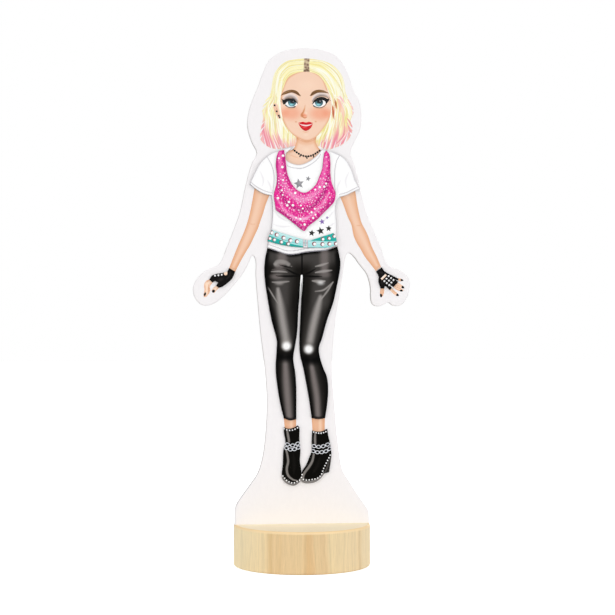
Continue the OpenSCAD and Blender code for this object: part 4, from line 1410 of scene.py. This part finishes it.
def left_glove_drawing(c):
    """A black fingerless glove with three studs and a gap at the wrist."""
    loops = outer_loops("left_glove_print")
    leather = ground(
        c.glove,
        spot(c.leather_sheen, (-39.5, 118), 2.6, 1.5, 0.2, 1.0, 20),
        stroke(c.leather_sheen, [(-34.75, 122), (-35.5, 119.5), (-37, 118)], 1.2, 0.2, 1.0),
        rim(c.leather_edge, loops, 0.7, 0.9),
        stroke(c.leather_edge, [(-36, 122.75), (-33, 121)], 0.5, 0.9),
    )
    gap_line = [(-38, 121.75, 1), (-37.9, 120.4), (-37.1, 119.95), (-36.4, 120.5), (-36.4, 122, 1)]
    gap = patch(c.skin_light, gap_line, spot(c.skin_edge, (-37.1, 120.2), 0.7, 0.4, 0.5), step=FINE)
    return [leather, gap, *glove_studs(c, ((-42.25, 119.8), (-40.6, 120), (-39, 120.25)), 0.44, 0.1)]


def right_glove_drawing(c):
    """A black fingerless glove with a slot at the wrist and nine studs."""
    loops = outer_loops("right_glove_print")
    leather = ground(
        c.glove,
        stroke(c.leather_sheen, [(37.75, 121.75), (39.25, 121)], 2.2, 0.2, 1.0),
        stroke(c.leather_sheen, [(38.75, 117.5), (39, 115.5)], 1.4, 0.2, 1.0),
        rim(c.leather_edge, loops, 0.7, 0.9),
        stroke(c.leather_edge, [(40.75, 115.25), (41.5, 114.6)], 0.3, 0.9),
    )
    slot = patch(c.skin_light, [(38.2, 118.6, 1), (40.5, 120.8, 1), (41.2, 120.1, 1), (38.9, 117.8, 1)],
                 stroke(c.eye_white, [(38.2, 118.4), (40.7, 120.7)], 1.0, 0.6), step=FINE)
    gaps = [
        patch(c.white, [(45.45, 118, 1), (47.3, 117.35, 1), (47.2, 116.9, 1)], step=FINE),
        patch(c.white, [(42.75, 115.4, 1), (44.3, 114.4, 1), (43.95, 113.85, 1)], step=FINE),
    ]
    places = [(42.15 + 1.2 * i - 1.05 * j, 119.75 - 0.95 * i - 1.22 * j) for i in range(3) for j in range(3)]
    return [leather, slot, *gaps, *glove_studs(c, places, 0.45, 0.25)]


# Materials


def add(tree, kind, inputs=None, **settings):
    """Adds a shader node, sets its settings, and gives each input named here a value or a link."""
    made = tree.nodes.new("ShaderNode" + kind)
    for key, value in settings.items():
        setattr(made, key, value)
    for key, value in (inputs or {}).items():
        if isinstance(value, bpy.types.NodeSocket):
            tree.links.new(value, made.inputs[key])
        else:
            made.inputs[key].default_value = value
    return made


def bare_nodes(owner):
    """The nodes of a material or a world, cleared."""
    owner.use_nodes = True
    owner.node_tree.nodes.clear()
    return owner.node_tree


def maths(tree, operation, *values):
    """A number worked out from others."""
    return add(tree, "Math", dict(enumerate(values)), operation=operation).outputs[0]


def ranged(tree, value, low, high, new_low=0.0, new_high=1.0, way="LINEAR"):
    """A number carried from one range to another."""
    ends = {"From Min": low, "From Max": high, "To Min": new_low, "To Max": new_high}
    return add(tree, "MapRange", {"Value": value, **ends}, interpolation_type=way).outputs["Result"]


def stretched(tree, place, scale, location=(0, 0, 0)):
    """Coordinates that are stretched and moved."""
    return add(tree, "Mapping", {"Vector": place, "Scale": scale, "Location": location}).outputs["Vector"]


def reach_of(tree, place):
    """How far a place lies from the origin of its coordinates."""
    return add(tree, "VectorMath", {0: place}, operation="LENGTH").outputs["Value"]


def clouds(tree, place, scale, detail, roughness=0.5):
    """Soft random values."""
    look = {"Scale": scale, "Detail": detail, "Roughness": roughness}
    return add(tree, "TexNoise", {"Vector": place, **look}).outputs["Fac"]


def blend(tree, share, first, second):
    """Two colours, mixed by a share of the second."""
    return add(tree, "Mix", {0: share, 6: first, 7: second}, data_type="RGBA").outputs[2]


def toned(tree, colour, level):
    """A colour made lighter or darker by a level."""
    return add(tree, "VectorMath", {0: colour, "Scale": level}, operation="SCALE").outputs["Vector"]


def plain_colour(red, green, blue):
    """A plain colour for a socket, from the 0 to 255 values that the eye sees."""
    return tuple(((v / 255 + 0.055) / 1.055) ** 2.4 for v in (red, green, blue)) + (1.0,)


def grain_group():
    """Fine grain of a printed or pressed surface: a tint that varies, its roughness and its height."""
    found = bpy.data.node_groups.get("Surface grain")
    if found:
        return found
    tree = bpy.data.node_groups.new("Surface grain", "ShaderNodeTree")
    for way, sockets in (
        ("INPUT", {"Colour": "Color", "Place": "Vector", "Scale": "Float", "Amount": "Float",
                   "Roughness": "Float"}),
        ("OUTPUT", {"Colour": "Color", "Roughness": "Float", "Height": "Float"}),
    ):
        for label, kind in sockets.items():
            tree.interface.new_socket(name=label, in_out=way, socket_type="NodeSocket" + kind)
    given = tree.nodes.new("NodeGroupInput").outputs
    made = tree.nodes.new("NodeGroupOutput").inputs
    fine = clouds(tree, given["Place"], given["Scale"], 4.0, 0.6)
    broad = clouds(tree, given["Place"], 0.09, 2.0)
    centred = maths(tree, "SUBTRACT", maths(tree, "ADD", fine, broad), 1.0)
    swing = maths(tree, "MULTIPLY_ADD", centred, given["Amount"], 1.0)
    tree.links.new(toned(tree, given["Colour"], swing), made["Colour"])
    tree.links.new(maths(tree, "MULTIPLY_ADD", centred, 0.25, given["Roughness"]), made["Roughness"])
    tree.links.new(fine, made["Height"])
    return tree


def grained(name, specular, colour, scale, amount, roughness, height, **sockets):
    """A material whose colour comes from a function of its nodes and the page, through the surface grain.

    The page is in millimetres, and so is the height of the grain.
    """
    material = bpy.data.materials.new(name)
    tree = bare_nodes(material)
    shader = add(tree, "BsdfPrincipled", {"Specular IOR Level": specular, **sockets})
    add(tree, "OutputMaterial", {"Surface": shader.outputs["BSDF"]})
    page = stretched(tree, add(tree, "TexCoord").outputs["Object"], (1000, 1000, 1000))
    look = {"Colour": colour(tree, page), "Place": page, "Scale": scale, "Amount": amount,
            "Roughness": roughness}
    grain = add(tree, "Group", look, node_tree=grain_group())
    bump = add(tree, "Bump", {"Height": grain.outputs["Height"], "Strength": GRAIN_BUMP,
                              "Distance": height / 1000})
    tree.links.new(grain.outputs["Colour"], shader.inputs["Base Color"])
    tree.links.new(grain.outputs["Roughness"], shader.inputs["Roughness"])
    tree.links.new(bump.outputs["Normal"], shader.inputs["Normal"])
    return material


def print_colour(tree, _page=None):
    """The colours of a drawing, which its own mesh carries."""
    return add(tree, "Attribute", attribute_name="Print").outputs["Color"]


def printed_paper():
    """Satin ink on coated paper."""
    return grained("Printed paper", 0.15, print_colour, 5.0, 0.035, 0.5, 0.004)


def printed_vinyl():
    """Satin print on a vinyl film."""
    return grained("Printed film", 0.2, print_colour, 3.0, 0.03, 0.4, 0.006)


def leather_film():
    """A dark print with the fine grain of leather."""

    def colour(tree, page):
        cells = add(tree, "TexVoronoi", {"Vector": page, "Scale": 2.6}, feature="DISTANCE_TO_EDGE")
        return toned(tree, print_colour(tree), ranged(tree, cells.outputs["Distance"], 0, 0.12, 0.88, 1.03))

    return grained("Leather print film", 0.02, colour, 4.0, 0.05, 0.42, 0.006)


def sequin_film():
    """A print of small round sequins that catch the light each in its own way."""

    def colour(tree, page):
        flat = stretched(tree, page, (1, 0, 1))
        cells = add(tree, "TexVoronoi", {"Vector": flat, "Scale": 1.5, "Randomness": 0.8})
        gaps = ranged(tree, cells.outputs["Distance"], 0.35, 0.75, 1.05, 0.9, "SMOOTHSTEP")
        parts = add(tree, "SeparateColor", {"Color": cells.outputs["Color"]})
        gleam = ranged(tree, parts.outputs["Red"], 0.7, 1, 0, 0.2)
        dark = ranged(tree, parts.outputs["Green"], 0, 1, 0.88, 1.1)
        tint = toned(tree, print_colour(tree), maths(tree, "MULTIPLY", gaps, dark))
        return blend(tree, gleam, tint, (1, 0.62, 0.82, 1))

    return grained("Sequin print film", 0.15, colour, 6.0, 0.04, 0.32, 0.01)


def hair_paper():
    """Printed hair: fine strands that run along the locks."""

    def colour(tree, _page):
        flow = add(tree, "UVMap", uv_map="Strands")
        strand = clouds(tree, stretched(tree, flow.outputs["UV"], (95, 2.5, 1)), 1.0, 3.0)
        return toned(tree, print_colour(tree), ranged(tree, strand, 0.3, 0.7, 0.92, 1.06))

    return grained("Printed hair", 0.15, colour, 5.0, 0.02, 0.5, 0.004)


def fibres(stretch, dark, light):
    """A colour that varies between a dark and a light one along stretched fibres."""

    def colour(tree, page):
        strand = clouds(tree, stretched(tree, page, stretch), 1.0, 5.0, 0.65)
        return blend(tree, ranged(tree, strand, 0.35, 0.65), plain_colour(*dark), plain_colour(*light))

    return colour


def coated_paper():
    """Off-white coated paper with a faint mottle of fibres."""
    mottle = fibres((0.9, 0.9, 0.35), (244, 241, 242), (246, 243, 244))
    return grained("Coated paper", 0.15, mottle, 4.0, 0.012, 0.5, 0.004)


def pressed_board():
    """The cut edge of grey board: thin layers with short fibres."""
    layers = fibres((0.5, 6.0, 0.5), (168, 164, 160), (208, 204, 199))
    return grained("Pressed grey board", 0.1, layers, 3.0, 0.14, 0.85, 0.03)


def rolled_steel():
    """Thin cold-rolled sheet with fine rolling lines."""
    lines = fibres((0.2, 1.0, 6.0), (150, 152, 156), (190, 192, 196))
    return grained("Rolled steel", 0.5, lines, 3.0, 0.05, 0.35, 0.004, Metallic=1.0)


def magnet_rubber():
    """Black flexible magnet with the faint lines of its poles."""

    def colour(tree, page):
        poles = add(tree, "TexWave", {"Vector": page, "Scale": 0.32, "Distortion": 0.3}, bands_direction="X")
        return blend(tree, poles.outputs["Fac"], plain_colour(30, 29, 28), plain_colour(40, 38, 37))

    return grained("Magnet rubber", 0.2, colour, 5.0, 0.3, 0.65, 0.02)


def pine_wood():
    """Pale sanded pine."""
    return grained("Sanded pine", 0.2, pine_colour, 2.2, 0.04, 0.6, 0.03)


def pine_colour(tree, page):
    """Growth rings round a far heart, with upright fibres, and painted light on the top with a painted
    highlight round its rim.
    """
    drift = clouds(tree, stretched(tree, page, (0.09, 0.09, 0.03)), 1.0, 3.0)
    radius = reach_of(tree, stretched(tree, page, (1, 1, 0), (150, 16, 0)))
    swayed = maths(tree, "MULTIPLY_ADD", drift, 5.0, radius)
    rings = add(tree, "ValToRGB", {"Fac": ranged(tree, swayed, 119.5, 185.5)})
    stops = rings.color_ramp.elements
    # The ramp is paler at both ends, on the disc's left and right flanks: partly the pine's own tone, partly
    # painted light that makes up for the shade on the curved sides
    stops[0].color = plain_colour(253, 234, 191)
    stops[1].position = 1.0
    stops[1].color = plain_colour(250, 228, 186)
    for place, colour in ((0.19, (243, 219, 173)), (0.235, (229, 196, 144)), (0.255, (235, 205, 157)),
                          (0.303, (229, 198, 149)), (0.33, (233, 204, 157)), (0.46, (230, 202, 155)),
                          (0.505, (223, 187, 136)), (0.54, (226, 192, 143)), (0.565, (230, 202, 155)),
                          (0.625, (228, 198, 152)), (0.67, (236, 213, 168)), (0.86, (242, 218, 175)),
                          (0.886, (233, 206, 160)), (0.91, (244, 222, 181))):
        stops.new(place).color = plain_colour(*colour)
    uneven = add(tree, "TexNoise", {"W": swayed, "Scale": 0.75, "Detail": 3.0, "Roughness": 0.7},
                 noise_dimensions="1D")
    thin = ranged(tree, uneven.outputs["Fac"], 0.35, 0.7, 1.03, 0.92)
    fibre = clouds(tree, stretched(tree, page, (3, 3, 0.14)), 1.0, 6.0, 0.7)
    streak = ranged(tree, fibre, 0.35, 0.7, 1.05, 0.9)
    streaked = toned(tree, rings.outputs["Color"], maths(tree, "MULTIPLY", streak, thin))
    return painted_light_on_top(tree, page, streaked)


def painted_light_on_top(tree, page, colour):
    """Painted light on the wood: a paler top, as if lit from above, and a warm painted highlight round the
    top rim.
    """
    top = DISC_TOP * 1000
    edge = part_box("base_disc")[1].x * 1000
    parts = add(tree, "SeparateXYZ", {"Vector": page})
    high = ranged(tree, parts.outputs["Z"], top - 1.4, top - 0.3)
    wide = ranged(tree, reach_of(tree, stretched(tree, page, (1, 1, 0))), edge - 1.6, edge - 0.6)
    # Painted light: the top of the disc is made paler, as if lit from above
    pale = blend(tree, high, colour, plain_colour(255, 240, 208))
    soft = blend(tree, 0.9, colour, pale)
    # Painted highlight: a warm band round the rim of the top
    strength = maths(tree, "MULTIPLY", maths(tree, "MULTIPLY", high, wide), 0.7)
    return blend(tree, strength, soft, plain_colour(250, 210, 146))


# Shapes of the board and the disc


def drawn_in(loop, inset):
    """An anticlockwise loop drawn in by an inset all round."""
    way = np.roll(loop, -1, axis=0) - np.roll(loop, 1, axis=0)
    way /= np.linalg.norm(way, axis=1)[:, None]
    return loop + inset * np.column_stack([-way[:, 1], way[:, 0]])


def lofted(name, loop, profile):
    """A closed piece of one outline, drawn in and set back by each inset and depth of a profile."""
    count = len(loop)
    verts = []
    for inset, depth in profile:
        verts += [(across * MM, depth, up * MM + DISC_TOP) for across, up in drawn_in(loop, inset / MM)]
    faces = []
    for r in range(len(profile) - 1):
        for i in range(count):
            j = (i + 1) % count
            faces.append((r * count + i, r * count + j, (r + 1) * count + j, (r + 1) * count + i))
    faces.append(tuple(reversed(range(count))))
    faces.append(tuple(range(len(verts) - count, len(verts))))
    piece = new_piece(name, verts, faces)
    face_outwards()
    return piece


def soften():
    """Smooth rounded edges beside flat faces on the active piece."""
    bpy.ops.object.shade_smooth_by_angle(angle=SHARP_TURN)
    bpy.ops.object.modifier_add(type="WEIGHTED_NORMAL")
    modifier = bpy.context.object.modifiers[-1]
    modifier.keep_sharp = True
    bpy.ops.object.modifier_apply(modifier=modifier.name)


def cut(piece, cutter):
    """Takes a cutter out of a piece, which is left as the active one."""
    pick(piece)
    bpy.ops.object.modifier_add(type="BOOLEAN")
    modifier = piece.modifiers[-1]
    modifier.object = cutter
    modifier.operation = "DIFFERENCE"
    modifier.solver = "EXACT"
    bpy.ops.object.modifier_apply(modifier=modifier.name)
    bpy.data.objects.remove(cutter)


def quarter_turn(steps):
    """Angles from 0 to a quarter turn."""
    return [math.pi / 2 * i / steps for i in range(steps + 1)]


def arc(radius, start_inset, start_depth):
    """A quarter round of a profile, from a flat face round to an edge."""
    return [(start_inset - radius * math.sin(turn), start_depth + radius * (1 - math.cos(turn)))
            for turn in quarter_turn(ROUND_STEPS)]


class DOLL_OT_pine_disc(bpy.types.Operator):
    """Turns the pine disc with softened rims and cuts its slot"""

    bl_idname = "doll.pine_disc"
    bl_label = "Pine disc"

    def execute(self, context):
        sizes = context.scene.doll_sizes
        low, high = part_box("base_disc")
        deselect_all()
        bpy.ops.mesh.primitive_cylinder_add(
            vertices=sizes.disc_sides, radius=high.x, depth=high.z - low.z,
            location=(0, 0, (low.z + high.z) / 2)
        )
        piece = context.object
        piece.name = "pine_disc"
        bpy.ops.object.transform_apply(location=True, rotation=True, scale=True)
        bpy.ops.object.mode_set(mode="EDIT")
        bpy.ops.mesh.select_mode(type="EDGE")
        bpy.ops.mesh.select_all(action="DESELECT")
        bpy.ops.mesh.edges_select_sharp(sharpness=math.radians(60))
        bpy.ops.mesh.bevel(offset=sizes.disc_round, segments=ROUND_STEPS, affect="EDGES")
        bpy.ops.object.mode_set(mode="OBJECT")
        cut(piece, self.slot_cutter(high, sizes.slot_round))
        soften()
        coat(piece, pine_wood())
        finish_piece(piece, "base", ["base_disc"])
        return {"FINISHED"}

    def slot(self):
        """Half the width of the slot and its floor, from the upward faces well below the CAD disc's top."""
        mesh = frame["nodes"]["base_disc"].data
        level = DISC_TOP - SLOT_DROP
        floors = [face for face in mesh.polygons if face.normal.z > FACING and face.center.z < level]
        spots = [mesh.vertices[i].co for face in floors for i in face.vertices]
        return max(abs(co.y) for co in spots), spots[0].z

    def slot_cutter(self, high, radius):
        """A straight bar right across the disc, which rounds the two long edges of the slot's mouth."""
        half, floor = self.slot()
        side = [(half, floor)]
        for turn in quarter_turn(MOUTH_STEPS):
            side.append((half + radius * (1 - math.cos(turn)), high.z - radius * (1 - math.sin(turn))))
        side.append((half + radius, 2 * high.z))
        profile = side + [(-y, z) for y, z in reversed(side)]
        count = len(profile)
        verts = [(x, y, z) for x in (-2 * high.x, 2 * high.x) for y, z in profile]
        faces = [(i, (i + 1) % count, (i + 1) % count + count, i + count) for i in range(count)]
        faces += [tuple(range(count)), tuple(range(count, 2 * count))]
        cutter = new_piece("slot_cutter", verts, faces)
        face_outwards()
        return cutter


class DOLL_OT_figure_board(bpy.types.Operator):
    """Makes the laminated board: rolled front paper, grey core with its steel, and back paper"""

    bl_idname = "doll.figure_board"
    bl_label = "Figure board"

    def execute(self, context):
        sizes = context.scene.doll_sizes
        loop = outer_loops("front_sheet")[0]
        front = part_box("front_sheet")[0].y
        core_front, core_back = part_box("core_board")[0].y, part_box("core_board")[1].y
        paper = coated_paper()
        roll = sizes.edge_roll
        outer = arc(roll, roll, front)
        inner = arc(roll - (core_front - front), roll, core_front)
        sheet = lofted("front_paper", loop, outer + inner[::-1])
        self.finish(sheet, paper, "front_sheet")
        step = sizes.lip_step
        pocket = min(outer_loops("core_board"), key=area)
        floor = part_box("steel_sheet")[1].y
        cutter = lofted("pocket", pocket, [(0, front - roll), (0, floor)])
        core = lofted("grey_core", loop, [*inner, (step, front + roll), (step, core_back)])
        cut(core, cutter)
        self.finish(core, pressed_board(), "core_board")
        back_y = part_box("back_sheet")[1].y
        small = (back_y - core_back) / 2
        bend = 0.3 * small
        back_line = [(0, core_back), (0, back_y - small), (bend, back_y - bend), (small, back_y)]
        back = lofted("back_paper", loop, back_line)
        self.finish(back, paper, "back_sheet")
        coat(frame["nodes"]["steel_sheet"], rolled_steel())
        return {"FINISHED"}

    def finish(self, layer, material, node):
        """Softens the active layer of the board and puts it in the place of its CAD node."""
        soften()
        coat(layer, material)
        finish_piece(layer, "board", [node])


class DOLL_OT_figure_prints(bpy.types.Operator):
    """Prints the bare figure: skin, undersuit, face and necklace"""

    bl_idname = "doll.figure_prints"
    bl_label = "Figure prints"

    def execute(self, context):
        sizes = context.scene.doll_sizes
        drawing = figure_drawing(context.scene.doll_colours)
        print_films(
            printed_paper(),
            ("skin_print", drawing, sizes.plain_step),
            ("undersuit_print", drawing, sizes.plain_step),
            ("face_print", drawing, sizes.fine_step),
            ("necklace_print", drawing, sizes.fine_step),
        )
        return {"FINISHED"}


class DOLL_OT_hair_print(bpy.types.Operator):
    """Prints the hair"""

    bl_idname = "doll.hair_print"
    bl_label = "Hair print"

    def execute(self, context):
        sizes = context.scene.doll_sizes
        drawing = hair_drawing(context.scene.doll_colours)
        print_films(hair_paper(), ("hair_print", drawing, sizes.fine_step, hair_flow))
        return {"FINISHED"}


class DOLL_OT_light_clothes(bpy.types.Operator):
    """Prints the T-shirt and the belt"""

    bl_idname = "doll.light_clothes"
    bl_label = "T-shirt and belt"

    def execute(self, context):
        sizes = context.scene.doll_sizes
        colours = context.scene.doll_colours
        print_films(
            printed_vinyl(),
            ("tshirt_print", tshirt_drawing(colours), sizes.print_step),
            ("belt_print", belt_drawing(colours), sizes.print_step),
        )
        return {"FINISHED"}


class DOLL_OT_scarf(bpy.types.Operator):
    """Prints the sequinned scarf"""

    bl_idname = "doll.scarf"
    bl_label = "Scarf"

    def execute(self, context):
        sizes = context.scene.doll_sizes
        drawing = scarf_drawing(context.scene.doll_colours)
        print_films(sequin_film(), ("scarf_print", drawing, sizes.print_step))
        return {"FINISHED"}


class DOLL_OT_leather_clothes(bpy.types.Operator):
    """Prints the leggings, the boots and the gloves"""

    bl_idname = "doll.leather_clothes"
    bl_label = "Leather clothes"

    def execute(self, context):
        sizes = context.scene.doll_sizes
        colours = context.scene.doll_colours
        print_films(
            leather_film(),
            ("leggings_print", leggings_drawing(colours), sizes.print_step),
            ("boots_print", boots_drawing(colours), sizes.fine_step),
            ("left_glove_print", left_glove_drawing(colours), sizes.fine_step),
            ("right_glove_print", right_glove_drawing(colours), sizes.fine_step),
        )
        return {"FINISHED"}


class DOLL_OT_magnets(bpy.types.Operator):
    """Gives the magnets behind the clothes their rubber"""

    bl_idname = "doll.magnets"
    bl_label = "Magnets"

    def execute(self, context):
        material = magnet_rubber()
        for name, node in frame["nodes"].items():
            if name.endswith("_magnet"):
                coat(node, material)
        return {"FINISHED"}


class DOLL_OT_stage(bpy.types.Operator):
    """Sets the pale floor, the soft light and the camera"""

    bl_idname = "doll.stage"
    bl_label = "Stage"

    def execute(self, context):
        scene = context.scene
        sizes = scene.doll_sizes
        deselect_all()
        bpy.ops.mesh.primitive_plane_add(size=FLOOR_SIZE, location=(0, 0, 0))
        floor = context.object
        floor.name = "floor"
        floor.data.materials.append(self.floor_material())
        self.world(scene)
        self.sun("key_light", (0.15, -1.0, 0.3), 12, 0.74)
        self.sun("top_light", (0.0, -0.35, 1.0), 30, 0.56)
        self.sun("left_light", (-1.0, -0.6, 0.3), 30, 0.48)
        self.sun("right_light", (1.0, -0.6, 0.3), 30, 0.36)
        self.sun("back_light", (0.25, 1.0, 0.1), 30, 1.5)
        camera = bpy.data.cameras.new("camera")
        camera.lens = sizes.lens
        holder = bpy.data.objects.new("camera", camera)
        left = math.sin(sizes.camera_turn) * sizes.camera_distance
        forward = math.cos(sizes.camera_turn) * sizes.camera_distance
        holder.location = (sizes.camera_across - left, -forward, sizes.camera_height)
        holder.rotation_euler = (math.pi / 2, 0, -sizes.camera_turn)
        scene.collection.objects.link(holder)
        scene.camera = holder
        scene.view_settings.view_transform = "Standard"
        return {"FINISHED"}

    def floor_material(self):
        """Pale floor that looks white to the camera where no shadow falls."""
        material = bpy.data.materials.new("Pale floor")
        tree = bare_nodes(material)
        matt = add(tree, "BsdfDiffuse", {"Color": (0.9, 0.9, 0.9, 1)})
        light = add(tree, "Emission", {"Strength": maths(tree, "MULTIPLY", self.seen_rays(tree), FLOOR_GLOW)})
        both = add(tree, "AddShader", {0: matt.outputs[0], 1: light.outputs[0]})
        add(tree, "OutputMaterial", {"Surface": both.outputs[0]})
        return material

    def seen_rays(self, tree):
        """1 for the camera's rays and for those that metal or glass sends on."""
        path = add(tree, "LightPath").outputs
        mirror = maths(tree, "MAXIMUM", path["Is Glossy Ray"], path["Is Transmission Ray"])
        return maths(tree, "MAXIMUM", path["Is Camera Ray"], mirror)

    def world(self, scene):
        """Even soft light, with white behind the object."""
        world = bpy.data.worlds.new("Soft white")
        scene.world = world
        tree = bare_nodes(world)
        soft = add(tree, "Background", {"Color": (1, 1, 1, 1), "Strength": SKY_LIGHT})
        white = add(tree, "Background", {"Color": (1, 1, 1, 1), "Strength": 1.0})
        chosen = add(tree, "MixShader", {0: self.seen_rays(tree), 1: soft.outputs[0], 2: white.outputs[0]})
        add(tree, "OutputWorld", {"Surface": chosen.outputs[0]})

    def sun(self, name, side, spread, power):
        """A far lamp that shines from a side, as soft as its spread in degrees."""
        light = bpy.data.lights.new(name, "SUN")
        light.angle = math.radians(spread)
        light.energy = power
        holder = bpy.data.objects.new(name, light)
        holder.location = side
        holder.rotation_euler = Vector(side).to_track_quat("Z", "Y").to_euler()
        bpy.context.scene.collection.objects.link(holder)


class DOLL_PT_panel(bpy.types.Panel):
    """Lists the steps that build the doll"""

    bl_idname = "DOLL_PT_panel"
    bl_label = "Dress-up doll"
    bl_space_type = "VIEW_3D"
    bl_region_type = "UI"
    bl_category = "Doll"

    def draw(self, context):
        for step in STEPS:
            self.layout.operator(step.bl_idname)
        for group in (context.scene.doll_sizes, context.scene.doll_colours):
            for key in group.bl_rna.properties.keys():
                if key not in ("rna_type", "name"):
                    self.layout.prop(group, key)


STEPS = (
    DOLL_OT_pine_disc,
    DOLL_OT_figure_board,
    DOLL_OT_figure_prints,
    DOLL_OT_hair_print,
    DOLL_OT_light_clothes,
    DOLL_OT_scarf,
    DOLL_OT_leather_clothes,
    DOLL_OT_magnets,
    DOLL_OT_stage,
)
CLASSES = (DollSizes, DollColours, *STEPS, DOLL_PT_panel)


def register():
    """Registers the classes and gives the scene their values."""
    for made in CLASSES:
        bpy.utils.register_class(made)
    bpy.types.Scene.doll_sizes = PointerProperty(type=DollSizes)
    bpy.types.Scene.doll_colours = PointerProperty(type=DollColours)


def unregister():
    """Takes back what register did."""
    del bpy.types.Scene.doll_sizes
    del bpy.types.Scene.doll_colours
    for made in reversed(CLASSES):
        bpy.utils.unregister_class(made)


def main():
    """Builds the doll."""
    register()
    bpy.ops.doll.pine_disc()
    bpy.ops.doll.figure_board()
    bpy.ops.doll.figure_prints()
    bpy.ops.doll.hair_print()
    bpy.ops.doll.light_clothes()
    bpy.ops.doll.scarf()
    bpy.ops.doll.leather_clothes()
    bpy.ops.doll.magnets()
    bpy.ops.doll.stage()


if __name__ == "__main__":
    main()
